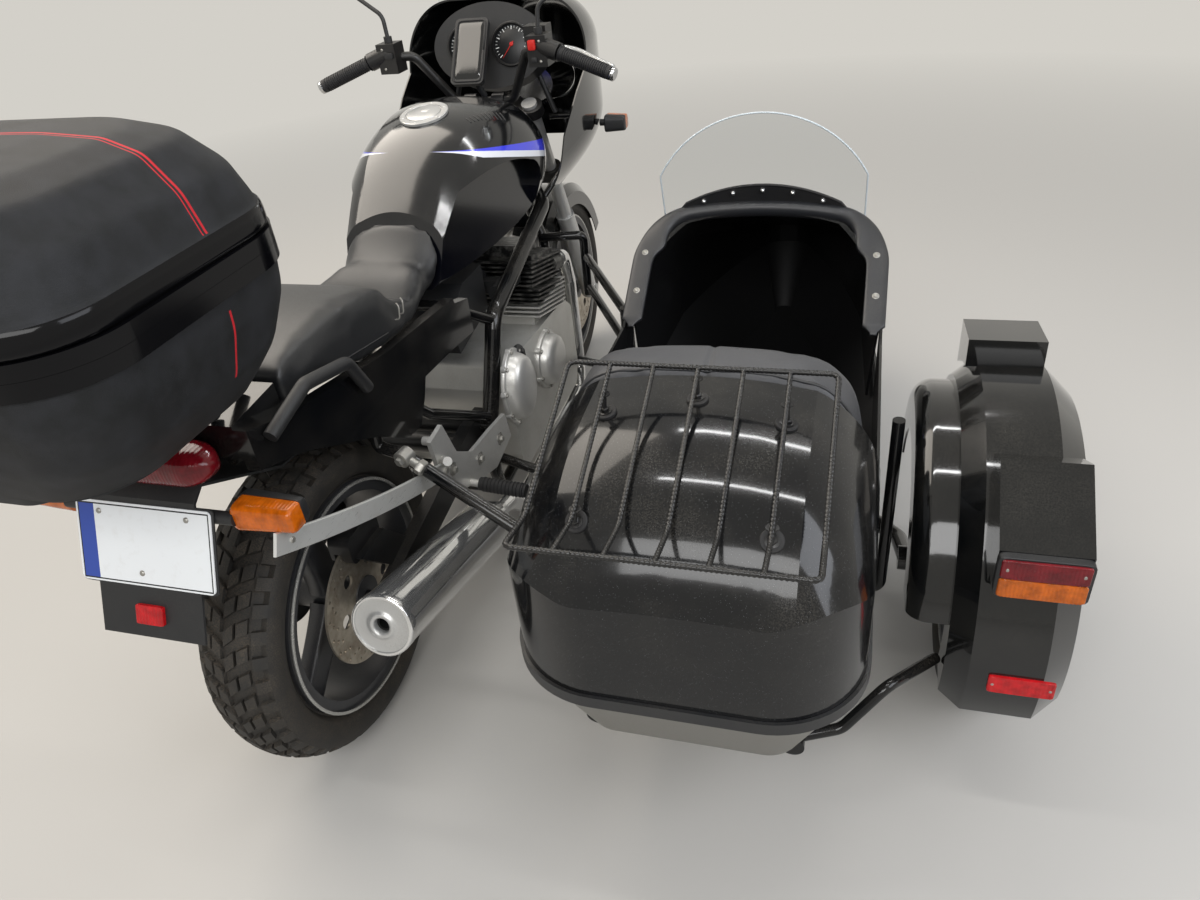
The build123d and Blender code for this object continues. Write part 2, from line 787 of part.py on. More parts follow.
# Fork, clamps and handlebar: they turn with the steering
clamp_low = 515
clamp_high = head_high + 5
leg_top = clamp_high + 34
slider_top = 330
with BuildPart() as fork:
    for side in (-1, 1):
        x = side * fork_x
        rod(fork_point(x, fork_offset, -26), fork_point(x, fork_offset, slider_top), slider_radius)
        overlap = slider_top - 5
        rod(fork_point(x, fork_offset, overlap), fork_point(x, fork_offset, leg_top), stanchion_radius)
        reach = disc_thickness / 2 + caliper_gap
        with BuildSketch(beside(side * (front_disc_x - reach - 9))) as caliper:
            with Locations((front_axle_y - 108, front_tyre_radius + 78)):
                RectangleRounded(66, 96, 16)
        extrude(caliper.sketch, amount=side * 2 * (reach + 9))
        with BuildSketch(beside(side * (front_disc_x - reach))) as slot:
            with Locations((front_axle_y, front_tyre_radius)):
                Circle(front_disc_radius + caliper_gap)
        extrude(slot.sketch, amount=side * 2 * reach, mode=Mode.SUBTRACT)
        with BuildSketch(beside(side * (front_disc_x + reach + 1), front_axle_y, front_tyre_radius)) as lug:
            with BuildLine():
                Polyline((-128, 110), (-88, 120), (-20, 90), (-30, 40), (-100, 50), close=True)
            make_face()
        extrude(lug.sketch, amount=side * 8)
    axle_end = fork_x + slider_radius + 4
    axle_ends = [(side * axle_end, front_axle_y, front_tyre_radius) for side in (-1, 1)]
    rod(axle_ends[0], axle_ends[1], axle_radius)

with BuildPart() as fork_clamps:
    for level, height in ((clamp_low - 34, 34), (clamp_high, 26)):
        with BuildSketch(fork_plane(level)):
            with Locations((0, fork_offset)):
                RectangleRounded(2 * fork_x + 66, 60, 28)
            Circle(27)
            with Locations((-fork_x, fork_offset), (fork_x, fork_offset)):
                Circle(stanchion_radius + seat_gap, mode=Mode.SUBTRACT)
        extrude(amount=height)
    rod(fork_point(0, 0, clamp_low - 30), fork_point(0, 0, clamp_high + 30), stem_radius)
    bar_seat = fork_point(0, 6, clamp_high + 66)
    for side in (-1, 1):
        rod(fork_point(side * 38, 6, clamp_high + 20), fork_point(side * 38, 6, clamp_high + 66), 12)
        rod((side * 22, bar_seat[1], bar_seat[2]), (side * 54, bar_seat[1], bar_seat[2]), bar_radius + 8)
        rod(
            (side * 18, bar_seat[1], bar_seat[2]), (side * 58, bar_seat[1], bar_seat[2]),
            bar_radius + seat_gap, Mode.SUBTRACT,
        )

grip_in = (225, 1040, 1104)
grip_out = (bar_half, 1009, 1054)
bar_route = [
    (150, 1082, 1098),
    grip_in,
    grip_out,
]


def along_grip(side, share):
    """Point on the bar's grip run, from 0 at the bend to 1 at the end."""
    return Vector(*[a + (b - a) * share for a, b in zip(
        (side * grip_in[0], grip_in[1], grip_in[2]), (side * grip_out[0], grip_out[1], grip_out[2]))])


with BuildPart() as handlebar:
    bar(
        [(-x, y, z) for x, y, z in reversed(bar_route)]
        + [(-78, bar_seat[1], bar_seat[2]), (78, bar_seat[1], bar_seat[2])]
        + bar_route,
        bar_radius,
        34,
    )
    for side in (-1, 1):
        rod(along_grip(side, -0.22), along_grip(side, 0.16), 21)
        pod = Vector(side * 196, 1052, 1102)
        with Locations(pod):
            Box(48, 52, 68)
        lever_root = Vector(side * 190, 1092, 1100)
        rod(pod, lever_root, 12)
        bar(
            [
                tuple(lever_root),
                (side * 262, 1108, 1090),
                (side * 362, 1070, 1052),
            ],
            6,
            30,
        )
    with Locations((176, 1104, 1132)):
        Box(56, 46, 34)
    rod((190, 1092, 1100), (184, 1100, 1124), 11)

with BuildPart() as grips:
    for side in (-1, 1):
        rod(along_grip(side, 0.18), along_grip(side, 1.06), grip_radius)
        rod(along_grip(side, 0.1), along_grip(side, 1), bar_radius + seat_gap, Mode.SUBTRACT)

mirror_x = 336
with BuildPart() as mirrors:
    for side in (-1, 1):
        rod((side * 196, 1052, 1136 + seat_gap), (side * 196, 1052, 1150), 10)
        bar([(side * 196, 1052, 1145), (side * 200, 1056, 1196), (side * 322, 1092, 1268)], 5, 30)
        facing = Plane(origin=(side * mirror_x, 1090, 1290), x_dir=(1, 0, 0), z_dir=(0, -1, 0.1))
        with BuildSketch(facing) as glass:
            RectangleRounded(150, 92, 34)
        extrude(glass.sketch, amount=-24)

phone_centre = (-20, 1140, 1086)
with BuildPart() as phone_case:
    tilt = Plane(origin=phone_centre, x_dir=(1, 0, 0), z_dir=(0, -0.80, 0.60))
    with BuildSketch(tilt):
        RectangleRounded(88, 168, 12)
    extrude(amount=14)
    bar([(0, bar_seat[1] - 1, bar_seat[2] + 12.5), (-12, 1119, 1026), (-12, 1101, 1040)], 8, 9)

guard_inner = front_tyre_radius + 14
with BuildPart() as front_mudguard:
    with BuildSketch(wheel_plane(front_axle, 22)):
        with BuildLine():
            Polyline(
                (-72, guard_inner - 52), (-72, guard_inner - 12), (-50, guard_inner + 14),
                (50, guard_inner + 14), (72, guard_inner - 12), (72, guard_inner - 52),
                (69, guard_inner - 52), (69, guard_inner - 14), (48, guard_inner + 11),
                (-48, guard_inner + 11), (-69, guard_inner - 14), (-69, guard_inner - 52),
                close=True,
            )
        make_face()
    revolve(axis=Axis(front_axle, (1, 0, 0)), revolution_arc=138)
    for side in (-1, 1):
        with BuildSketch(beside(side * 71)) as boss:
            with Locations((front_axle_y - 126, front_tyre_radius + 262)):
                Circle(22)
        extrude(boss.sketch, amount=side * (fork_x - slider_radius - seat_gap - 71))

# Half fairing, carried by the frame: table of stations: y, half width, bottom, top
fairing_wall = 4
fairing_stations = [
    (950, 232, 740, 1150),
    (1240, 250, 760, 1190),
    (1450, 222, 790, 1170),
    (1580, 150, 830, 1090),
    (1640, 70, 880, 1010),
]


def fairing_form(inset, mode=Mode.ADD):
    """Nose of the fairing, lofted through its stations."""
    outlines = []
    for y, half, bottom, top in fairing_stations:
        with BuildSketch(across(y - inset * 2, 0, (bottom + top) / 2)) as outline:
            rise = (top - bottom) / 2
            RectangleRounded(2 * (half - inset), 2 * (rise - inset), min(half, rise) * 0.6)
        outlines.append(outline.sketch)
    loft(outlines, mode=mode)


with BuildPart() as fairing:
    fairing_form(0)
    fairing_form(fairing_wall, Mode.SUBTRACT)
    with BuildSketch(beside(-300)):
        with BuildLine():
            Polyline(
                (975, 805), (1040, 905), (1150, 985), (1232, 1030), (1262, 1110), (1290, 1200),
                (1700, 1200), (1700, 812), (1480, 800), (1330, 800), (1180, 795), (1060, 780),
                close=True,
            )
        make_face()
    extrude(amount=600, mode=Mode.INTERSECT)
    with BuildSketch(across(1700, 0, 935)):
        Ellipse(92, 70)
    extrude(amount=260, mode=Mode.SUBTRACT)
    for side in (-1, 1):
        rod((side * 128, 1250, 902), (side * 247, 1250, 904), 7)

with BuildPart() as headlamp:
    with BuildSketch(across(1618, 0, 935)):
        Ellipse(92 - seat_gap, 70 - seat_gap)
    with BuildSketch(across(1500, 0, 935)):
        Ellipse(60, 50)
    loft()

with BuildPart() as fairing_screen:
    with BuildSketch(Plane.XY.offset(1130)) as sheet:
        with BuildLine():
            ThreePointArc((-205, 1350), (0, 1470), (205, 1350))
        trace(line_width=4)
    extrude(sheet.sketch, amount=260, dir=(0, -0.55, 0.84))
    with BuildSketch(across(1700, 0, 1200)) as sheet_front:
        with BuildLine():
            Polyline((-190, -60), (190, -60), (168, 60))
            ThreePointArc((168, 60), (0, 140), (-168, 60))
            Line((-168, 60), (-190, -60))
        make_face()
    extrude(sheet_front.sketch, amount=700, mode=Mode.INTERSECT)
    fairing_form(-seat_gap, Mode.SUBTRACT)

with BuildPart() as instrument_pod:
    with BuildSketch(Plane(origin=(0, 1216, 1090), x_dir=(1, 0, 0), z_dir=(0, -0.94, 0.34))):
        Ellipse(156, 104)
    extrude(amount=-56)
    for side in (-1, 1):
        rod((side * 90, 1250, 1070), (side * 147, 1250, 912), 7)

# Sidecar body: one plan, filled below the band, arched above it
deck_stations = [
    (-258, 566, 0.25),
    (-170, 702, 0.32),
    (-30, 766, 0.42),
]
cowl_stations = [
    (1150, 232, 665, 0.42),
    (1420, 168, 552, 0.46),
    (1625, 60, 470, 0.5),
]


def tub_plan(inset):
    """Plan of the body: rounded rear corners, straight sides and a tapered nose."""
    half = tub_half - inset
    rear = tub_rear + inset
    corner = tub_corner - inset
    with BuildSketch(Plane(origin=(side_x, 0, 0))) as plan:
        with BuildLine():
            Line((-half + corner, rear), (half - corner, rear))
            RadiusArc((half - corner, rear), (half, rear + corner), -corner)
            Line((half, rear + corner), (half, 700))
            TangentArc((half, 700), (70 - inset / 2, tub_nose - 45 - inset), tangent=(0, 1))
            ThreePointArc(
                (70 - inset / 2, tub_nose - 45 - inset),
                (0, tub_nose - inset),
                (-70 + inset / 2, tub_nose - 45 - inset),
            )
            TangentArc((-half, 700), (-70 + inset / 2, tub_nose - 45 - inset), tangent=(0, 1))
            Line((-half, rear + corner), (-half, 700))
            RadiusArc((-half, rear + corner), (-half + corner, rear), -corner)
        make_face()
    return plan.sketch


def arch(plane, half, low, top, share, inset):
    """Arched outline on a plane: flat foot, straight sides, round shoulders and a crown."""
    side = half - inset
    high = top - inset
    shoulder = low + (high - low) * share
    crown = high - (high - low) * 0.045
    with BuildSketch(plane) as outline:
        with BuildLine():
            Polyline((-side, shoulder), (-side, low), (side, low), (side, shoulder))
            TangentArc((side, shoulder), (side * 0.62, crown), tangent=(0, 1))
            ThreePointArc((side * 0.62, crown), (0, high), (-side * 0.62, crown))
            TangentArc((-side, shoulder), (-side * 0.62, crown), tangent=(0, 1))
        make_face()
    return outline.sketch


hoop_rise = sqrt((hoop_top_y - hoop_foot_y) ** 2 + (hoop_top_z - sill_z) ** 2)
hoop_up = Vector(0, hoop_top_y - hoop_foot_y, hoop_top_z - sill_z).normalized()
hoop_plane = Plane(
    origin=(side_x, hoop_foot_y, sill_z), x_dir=(1, 0, 0), z_dir=Vector(1, 0, 0).cross(hoop_up)
)
hoop_low = -(sill_z - band_z) / hoop_up.Z
side_play = 3


def tub_form(inset):
    """Outside of the body above the band, or its inside with the mouth open when inset by the wall."""
    wide = tub_half + side_play
    over = 8 if inset > 0 else 0
    foot = band_z - over
    mouth_plane = hoop_plane.moved(Location((0, -over, 0)))
    with BuildPart() as form:
        loft(
            [
                arch(across(y, side_x), wide, foot, top, share, inset)
                for y, top, share in deck_stations + [(deck_front_y + over, deck_front_z, 0.48)]
            ]
        )
        with BuildSketch(Plane.XY.offset(foot)) as middle:
            with Locations((side_x, (deck_front_y + 700) / 2)):
                Rectangle(2 * (wide - inset), 700 - deck_front_y)
        extrude(middle.sketch, amount=sill_z - band_z + 2 * over)
        cowl = [
            arch(across(y - inset, side_x), half + side_play, foot, top, share, inset)
            for y, half, top, share in cowl_stations
        ]
        loft([arch(mouth_plane, wide, hoop_low, hoop_rise, 0.55, inset), cowl[0]], ruled=True)
        loft(cowl)
        extrude(tub_plan(inset).moved(Location((0, 0, foot))), amount=600, mode=Mode.INTERSECT)
    return form.part


tub_clearance = tub_form(-seat_gap)
with BuildPart() as tub_upper:
    add(tub_form(0))
    add(tub_form(tub_wall), mode=Mode.SUBTRACT)

lower_top = band_z - seat_gap
cushion_y = deck_front_y + 6
cushion_low = 380
cushion_top = 490
with BuildPart() as tub_lower:
    loft(
        [
            tub_plan(floor_inset).moved(Location((0, 0, tub_floor))),
            tub_plan(0).moved(Location((0, 0, lower_top))),
        ]
    )
    loft(
        [
            tub_plan(floor_inset + tub_wall).moved(Location((0, 0, tub_floor + tub_wall))),
            tub_plan(tub_wall).moved(Location((0, 0, lower_top))),
        ],
        mode=Mode.SUBTRACT,
    )
    with BuildSketch(Plane.XY.offset(tub_floor + tub_wall)) as plinth:
        with Locations((side_x, cushion_y + 240)):
            Rectangle(360, 440)
            Rectangle(340, 420, mode=Mode.SUBTRACT)
    extrude(plinth.sketch, amount=cushion_low - seat_gap - tub_floor - tub_wall)

with BuildPart() as tub_band:
    band_low = band_z - band_height / 2
    extrude(tub_plan(-6).moved(Location((0, 0, band_low))), amount=band_height)
    extrude(
        tub_plan(-seat_gap).moved(Location((0, 0, band_low - 1))), amount=band_height + 2, mode=Mode.SUBTRACT
    )

# Sidecar seat, rim, screen and rack
seat_half = tub_half - 22
back_low = cushion_top + seat_gap
with BuildPart() as sidecar_seat:
    with BuildSketch(across(cushion_y + 104, side_x)) as back:
        with BuildLine():
            Polyline(
                (-seat_half, 650), (-seat_half + 10, back_low), (seat_half - 10, back_low), (seat_half, 650)
            )
            TangentArc((seat_half, 650), (seat_half * 0.6, 770), tangent=(0, 1))
            ThreePointArc((seat_half * 0.6, 770), (0, 784), (-seat_half * 0.6, 770))
            TangentArc((-seat_half, 650), (-seat_half * 0.6, 770), tangent=(0, 1))
        make_face()
    extrude(back.sketch, amount=104)
    with BuildSketch(Plane.XY.offset(cushion_low)) as cushion:
        with Locations((side_x, cushion_y + 250)):
            RectangleRounded(2 * seat_half - 60, 500, 50)
    extrude(cushion.sketch, amount=cushion_top - cushion_low)

rim_half = 9
with BuildPart() as cockpit_rim:
    wide = tub_half - rim_half + 6
    tall = hoop_rise - rim_half + 6
    with BuildLine() as hoop_line:
        Line((wide, 14), (wide, tall * 0.55))
        TangentArc((wide, tall * 0.55), (wide * 0.62, tall * 0.955), tangent=(0, 1))
        ThreePointArc((wide * 0.62, tall * 0.955), (0, tall), (-wide * 0.62, tall * 0.955))
        TangentArc((-wide, tall * 0.55), (-wide * 0.62, tall * 0.955), tangent=(0, 1))
        Line((-wide, 14), (-wide, tall * 0.55))
    route = hoop_line.line.moved(hoop_plane.offset(rim_half + seat_gap).location)
    with BuildSketch(Plane(origin=route @ 0, z_dir=route % 0)) as bead:
        Circle(rim_half)
    sweep(bead.sketch, path=route)

screen_half = 224
with BuildPart() as sidecar_screen:
    with BuildSketch(Plane.XY.offset(690)) as sheet:
        with BuildLine():
            ThreePointArc((side_x - screen_half - 4, 905), (side_x, 938), (side_x + screen_half + 4, 905))
        trace(line_width=3)
    extrude(sheet.sketch, amount=340, dir=(0, -0.30, 0.954))
    with BuildSketch(across(1300, side_x, 690)) as sheet_front:
        with BuildLine():
            Polyline((-screen_half, 170), (-screen_half, 0), (screen_half, 0), (screen_half, 170))
            ThreePointArc((screen_half, 170), (0, 305), (-screen_half, 170))
        make_face()
    extrude(sheet_front.sketch, amount=700, mode=Mode.INTERSECT)
    add(tub_clearance, mode=Mode.SUBTRACT)

rack_front = (66, 822)
rack_kink = (-188, 716)
rack_rear = (-268, 730)
rack_slope = (rack_front[1] - rack_kink[1]) / (rack_front[0] - rack_kink[0])
inner_wire = rack_half * 2 / 3
foot_drop = 16
rack_feet = [(-inner_wire, 17), (inner_wire, 17), (0, 52), (-inner_wire, -166), (inner_wire, -166)]
with BuildPart() as luggage_rack:
    for side in (-1, 1):
        bar(
            [
                (side_x, rack_front[0], rack_front[1]),
                (side_x + side * rack_half, rack_front[0], rack_front[1]),
                (side_x + side * rack_half, rack_kink[0], rack_kink[1]),
                (side_x + side * rack_half, rack_rear[0], rack_rear[1]),
                (side_x, rack_rear[0], rack_rear[1]),
            ],
            rack_wire,
            12,
        )
    for share in (-2, -1, 0, 1, 2):
        x = side_x + share * rack_half / 3
        bar([(x, y, z) for y, z in (rack_front, rack_kink, rack_rear)], rack_wire - 0.5, 12)
    for x, y in rack_feet:
        wire_z = rack_kink[1] + (y - rack_kink[0]) * rack_slope
        rod((side_x + x, y, wire_z - 60), (side_x + x, y, wire_z), rack_wire)
        rod((side_x + x, y, wire_z - 60), (side_x + x, y, wire_z - foot_drop), 15)
    add(tub_clearance, mode=Mode.SUBTRACT)

# Sidecar wheel guard, lamps and frame
guard_centre = (0, fender_centre_y, fender_centre_z)
guard_start = 16
fender_arc = 180
guard_arc = 152
with BuildPart() as wheel_fender:
    with BuildSketch(beside(1155)) as front_box:
        with BuildLine():
            Polyline((440, 600), (560, 560), (566, 672), (446, 690), close=True)
        make_face()
    extrude(front_box.sketch, amount=130)
    with BuildSketch(beside(fender_left + 46)) as lamp_box:
        with BuildLine():
            Polyline((38, 476), (30, 556), (150, 640), (230, 600), (130, 500), close=True)
        make_face()
    extrude(lamp_box.sketch, amount=130)
    rod(
        (fender_left - 5, fender_centre_y, fender_centre_z),
        (fender_right + 5, fender_centre_y, fender_centre_z),
        fender_radius - 2, Mode.SUBTRACT,
    )
    with BuildSketch(wheel_plane(guard_centre, guard_start)) as hoop:
        with BuildLine():
            Polyline(
                (fender_left, fender_radius - 90), (fender_left, fender_radius - 30),
                (fender_left + 34, fender_radius), (fender_right - 44, fender_radius),
                (fender_right, fender_radius - 44), (fender_right, fender_radius - 110),
                (fender_right - fender_wall, fender_radius - 110),
                (fender_right - fender_wall, fender_radius - 46),
                (fender_right - 46, fender_radius - fender_wall),
                (fender_left + 36, fender_radius - fender_wall),
                (fender_left + fender_wall, fender_radius - 32),
                (fender_left + fender_wall, fender_radius - 90),
                close=True,
            )
        make_face()
    revolve(hoop.sketch, axis=Axis(guard_centre, (1, 0, 0)), revolution_arc=fender_arc)
    with BuildSketch(wheel_plane(guard_centre, guard_start)) as inner_hoop:
        with BuildLine():
            crown = guard_radius - 2
            Line((guard_right, crown), (guard_left + 36, crown))
            TangentArc((guard_left + 36, crown), (guard_left + 2, crown - 34), tangent=(-1, 0))
            Line((guard_left + 2, crown - 34), (guard_left + 2, crown - 98))
        trace(line_width=4)
    revolve(inner_hoop.sketch, axis=Axis(guard_centre, (1, 0, 0)), revolution_arc=guard_arc)

with BuildPart() as fender_lenses:
    with BuildSketch(beside(fender_left + 48)):
        with BuildLine():
            Polyline((37.3, 480), (30.1, 552), (14, 548), (20, 480), close=True)
        make_face()
    extrude(amount=126)
    with BuildSketch(Plane(origin=(fender_left + 115, 9.6, 294), x_dir=(1, 0, 0), z_dir=(0, -1, 0))):
        RectangleRounded(100, 36, 5)
    extrude(amount=6)

rail_half = 170
rail_radius = 20
rail_z = tub_floor - rail_radius - seat_gap
rail_left = side_x - rail_half
rail_right = side_x + rail_half
upright_x = side_x - tub_half - 28
right_x = side_x + tub_half + 30
hub_end = side_wheel_x + side_hub_half + 14
with BuildPart() as sidecar_frame:
    for x in (rail_left, rail_right):
        rod((x, -110, rail_z), (x, 1180, rail_z), rail_radius)
    for y in (-90, 330, 760, 1160):
        rod((rail_left, y, rail_z), (rail_right, y, rail_z), rail_radius - 2)
    bar([(rail_left, 760, rail_z), (upright_x, 760, rail_z), (upright_x, 762, 580)], 15, 30)
    bar([(rail_left, 40, rail_z), (upright_x, 40, rail_z), (upright_x, 46, 470)], 15, 30)
    bar([(rail_right, 300, rail_z), (right_x, 300, rail_z), (right_x, 290, 610)], 11, 24)
    bar(
        [
            (rail_right, 560, rail_z), (1000, 545, rail_z), (1078, 430, 232),
            (1088, side_wheel_y, side_tyre_radius),
        ],
        17,
        40,
    )
    rod((1072, side_wheel_y, side_tyre_radius), (1172, side_wheel_y, side_tyre_radius), 24)
    rod((1072, side_wheel_y, side_tyre_radius), (hub_end, side_wheel_y, side_tyre_radius), axle_radius)
    bar([(rail_right, -90, rail_z), (985, -62, 212), (1051, -27, 290), (fender_left - 8.5, 78, 262)], 10, 30)
    for z in (560, 470):
        rod((238, 1109, z), (upright_x, 762, z + 4), 11)
    rod((178, 102, 586), (upright_x, 46, 462), 13)
    rod((171.5, 505, 300.6), (rail_left, 470, rail_z), 12)
    rod((127, 1104, 248), (rail_left, 1060, rail_z), 12)

pieces = {
    "bike_frame": bike_frame,
    "engine": engine,
    "engine_covers": engine_covers,
    "carburettors": carburettors,
    "exhaust": exhaust,
    "swing_arm": swing_arm,
    "footrest_carriers": footrest_carriers,
    "peg_rubbers": peg_rubbers,
    "fuel_tank": fuel_tank,
    "seat": seat,
    "tail_panels": tail_panels,
    "rear_carrier": rear_carrier,
    "rear_mudguard": rear_mudguard,
    "number_plate": number_plate,
    "tail_lamp": tail_lamp,
    "indicators": indicators,
    "top_case_base": top_case_base,
    "top_case_lid": top_case_lid,
    "fairing": fairing,
    "headlamp": headlamp,
    "fairing_screen": fairing_screen,
    "instrument_pod": instrument_pod,
    "fork": fork,
    "fork_clamps": fork_clamps,
    "handlebar": handlebar,
    "grips": grips,
    "mirrors": mirrors,
    "phone_case": phone_case,
    "front_mudguard": front_mudguard,
    "front_tyre": front_tyre,
    "front_rim": front_rim,
    "front_discs": front_discs,
    "rear_tyre": rear_tyre,
    "rear_rim": rear_rim,
    "rear_disc": rear_disc,
    "sidecar_tyre": sidecar_tyre,
    "sidecar_rim": sidecar_rim,
    "sidecar_frame": sidecar_frame,
    "tub_lower": tub_lower,
    "tub_upper": tub_upper,
    "tub_band": tub_band,
    "sidecar_seat": sidecar_seat,
    "cockpit_rim": cockpit_rim,
    "sidecar_screen": sidecar_screen,
    "luggage_rack": luggage_rack,
    "wheel_fender": wheel_fender,
    "fender_lenses": fender_lenses,
}
boxes = [piece.part.bounding_box() for piece in pieces.values()]
middle_x = (min(box.min.X for box in boxes) + max(box.max.X for box in boxes)) / 2
middle_y = (min(box.min.Y for box in boxes) + max(box.max.Y for box in boxes)) / 2
outfit_shift = Location((-middle_x, -middle_y, 0))
for label, piece in pieces.items():
    placed = piece.part.moved(outfit_shift)
    placed.label = label
    export_step(placed, f"parts/{label}.step")
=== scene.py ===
import math

import bmesh
import bpy
import numpy as np
from mathutils import Matrix, Vector
from mathutils.bvhtree import BVHTree


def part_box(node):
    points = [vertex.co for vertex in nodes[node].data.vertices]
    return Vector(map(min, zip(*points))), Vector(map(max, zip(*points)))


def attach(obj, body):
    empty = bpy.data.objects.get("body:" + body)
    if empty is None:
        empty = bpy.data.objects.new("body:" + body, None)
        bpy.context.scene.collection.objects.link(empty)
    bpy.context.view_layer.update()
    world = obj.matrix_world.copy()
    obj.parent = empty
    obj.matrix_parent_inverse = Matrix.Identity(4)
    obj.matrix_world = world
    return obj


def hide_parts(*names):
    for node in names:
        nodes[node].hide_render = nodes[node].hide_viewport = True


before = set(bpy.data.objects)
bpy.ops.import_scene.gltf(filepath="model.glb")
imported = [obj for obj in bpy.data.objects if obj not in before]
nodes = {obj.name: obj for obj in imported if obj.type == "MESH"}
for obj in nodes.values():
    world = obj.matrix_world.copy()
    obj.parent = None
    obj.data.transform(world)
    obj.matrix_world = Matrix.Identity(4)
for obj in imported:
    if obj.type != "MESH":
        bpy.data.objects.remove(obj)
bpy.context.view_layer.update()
print("frame loaded,", len(nodes), "nodes")

# Sizes are millimetres from the foot of the rear axle: x right, y forward, z up.
tyreLow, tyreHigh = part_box("rear_tyre")
bikeOrigin = np.array([(tyreLow[0] + tyreHigh[0]) / 2, (tyreLow[1] + tyreHigh[1]) / 2, 0.0])


def place(points):
    # millimetres about the rear wheel to metres in the frame
    return np.asarray(points, dtype=float) / 1000 + bikeOrigin


def fullTurn(count):
    # angles of one whole turn in equal steps
    return np.linspace(0, 2 * math.pi, count, endpoint=False)


def unit(vectors):
    # vectors scaled to length one
    vectors = np.asarray(vectors, dtype=float)
    return vectors / np.linalg.norm(vectors, axis=-1, keepdims=True)


def runAlong(line):
    # how far along a line each of its points lies
    return np.concatenate([[0], np.cumsum(np.linalg.norm(np.diff(line, axis=0), axis=1))])


def spaced(line, run, places):
    # a line's points at given distances along it
    return np.stack([np.interp(places, run, line[:, k]) for k in range(line.shape[1])], -1)


def squared(angle, power):
    # superellipse: cosine and sine with their sizes raised to a power
    cosine, sine = np.cos(angle), np.sin(angle)
    return np.sign(cosine) * np.abs(cosine) ** power, np.sign(sine) * np.abs(sine) ** power


def eased(share):
    # smooth step from 0 to 1
    return share * share * (3 - 2 * share)


def cleanMesh(mesh, gap):
    # doubles merged and faces turned outwards
    work = bmesh.new()
    work.from_mesh(mesh)
    bmesh.ops.remove_doubles(work, verts=work.verts, dist=gap)
    bmesh.ops.recalc_face_normals(work, faces=work.faces)
    work.to_mesh(mesh)
    work.free()


def meshObject(name, points, quads, sharp=None):
    # a mesh from arrays of points (mm) and quads; doubles at seams and poles are merged
    mesh = bpy.data.meshes.new(name)
    mesh.vertices.add(len(points))
    mesh.vertices.foreach_set("co", place(points).astype(np.float32).ravel())
    mesh.loops.add(quads.size)
    mesh.loops.foreach_set("vertex_index", quads.astype(np.int32).ravel())
    mesh.polygons.add(len(quads))
    mesh.polygons.foreach_set("loop_start", np.arange(len(quads), dtype=np.int32) * 4)
    mesh.update(calc_edges=True)
    cleanMesh(mesh, 2e-6)
    mesh.shade_smooth()
    if sharp:
        mesh.set_sharp_from_angle(angle=math.radians(sharp))
    piece = bpy.data.objects.new(name, mesh)
    bpy.context.scene.collection.objects.link(piece)
    return piece


def gridQuads(rows, columns, wrapRows=False, wrapColumns=False, first=0):
    # each point of a rows x columns grid joined to the next in its row and column
    r = np.arange(rows if wrapRows else rows - 1)
    c = np.arange(columns if wrapColumns else columns - 1)
    a, b = np.meshgrid(r, c, indexing="ij")
    nextA, nextB = (a + 1) % rows, (b + 1) % columns
    corners = [a * columns + b, nextA * columns + b, nextA * columns + nextB, a * columns + nextB]
    return first + np.stack(corners, -1).reshape(-1, 4)


def patch(points, wrapRows=False, wrapColumns=False):
    # one grid of points, or a stack of equal grids, as flat points and quads
    rows, columns = points.shape[-3:-1]
    starts = np.arange(points.size // (rows * columns * 3))[:, None, None] * rows * columns
    quads = starts + gridQuads(rows, columns, wrapRows, wrapColumns)
    return points.reshape(-1, 3), quads.reshape(-1, 4)


def joined(name, patches, sharp=None):
    # several patches as one mesh
    first = np.cumsum([0] + [len(points) for points, quads in patches])
    points = np.concatenate([part[0] for part in patches])
    quads = np.concatenate([part[1] + start for part, start in zip(patches, first)])
    return meshObject(name, points, quads, sharp)


def nodeBox(name):
    # a node's lowest and highest corners in millimetres about the rear wheel
    low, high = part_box(name)
    return (np.array(low) - bikeOrigin) * 1000, (np.array(high) - bikeOrigin) * 1000


surfaceTrees = {}


def treeOf(name, mesh):
    # a mesh made ready for rays, under a name that surfaceAt knows
    faces = [tuple(face.vertices) for face in mesh.polygons]
    surfaceTrees[name] = BVHTree.FromPolygons([v.co for v in mesh.vertices], faces)


def surfaceAt(name, spot, direction):
    # where a ray from a spot (mm) first meets a named surface, and the outward normal there
    if name not in surfaceTrees:
        treeOf(name, nodes[name].data)
    hit = surfaceTrees[name].ray_cast(Vector(place(spot)), Vector(direction))
    point, normal = (np.array(hit[0]) - bikeOrigin) * 1000, np.array(hit[1])
    return point, -normal if normal @ np.asarray(direction) > 0 else normal


def arcThrough(first, middle, last, count=12):
    # points of the circle arc that runs through three points, in two or three dimensions
    first, middle, last = (np.asarray(v, dtype=float) for v in (first, middle, last))
    a, b = middle - first, last - first
    along = b / np.linalg.norm(b)
    square = a - (a @ along) * along
    square /= np.linalg.norm(square)
    u, v, chord = a @ along, a @ square, np.linalg.norm(b)
    height = (u * u + v * v - u * chord) / (2 * v)
    radius = math.hypot(chord / 2, height)
    start = math.atan2(-height, -chord / 2)
    end = math.atan2(-height, chord / 2)
    start, end = start % (2 * math.pi), end % (2 * math.pi)
    if v > 0:
        start = start if start > end else start + 2 * math.pi
    else:
        end = end if end > start else end + 2 * math.pi
    turn = np.linspace(start, end, count)[:, None]
    return first + (chord / 2 + radius * np.cos(turn)) * along + (height + radius * np.sin(turn)) * square


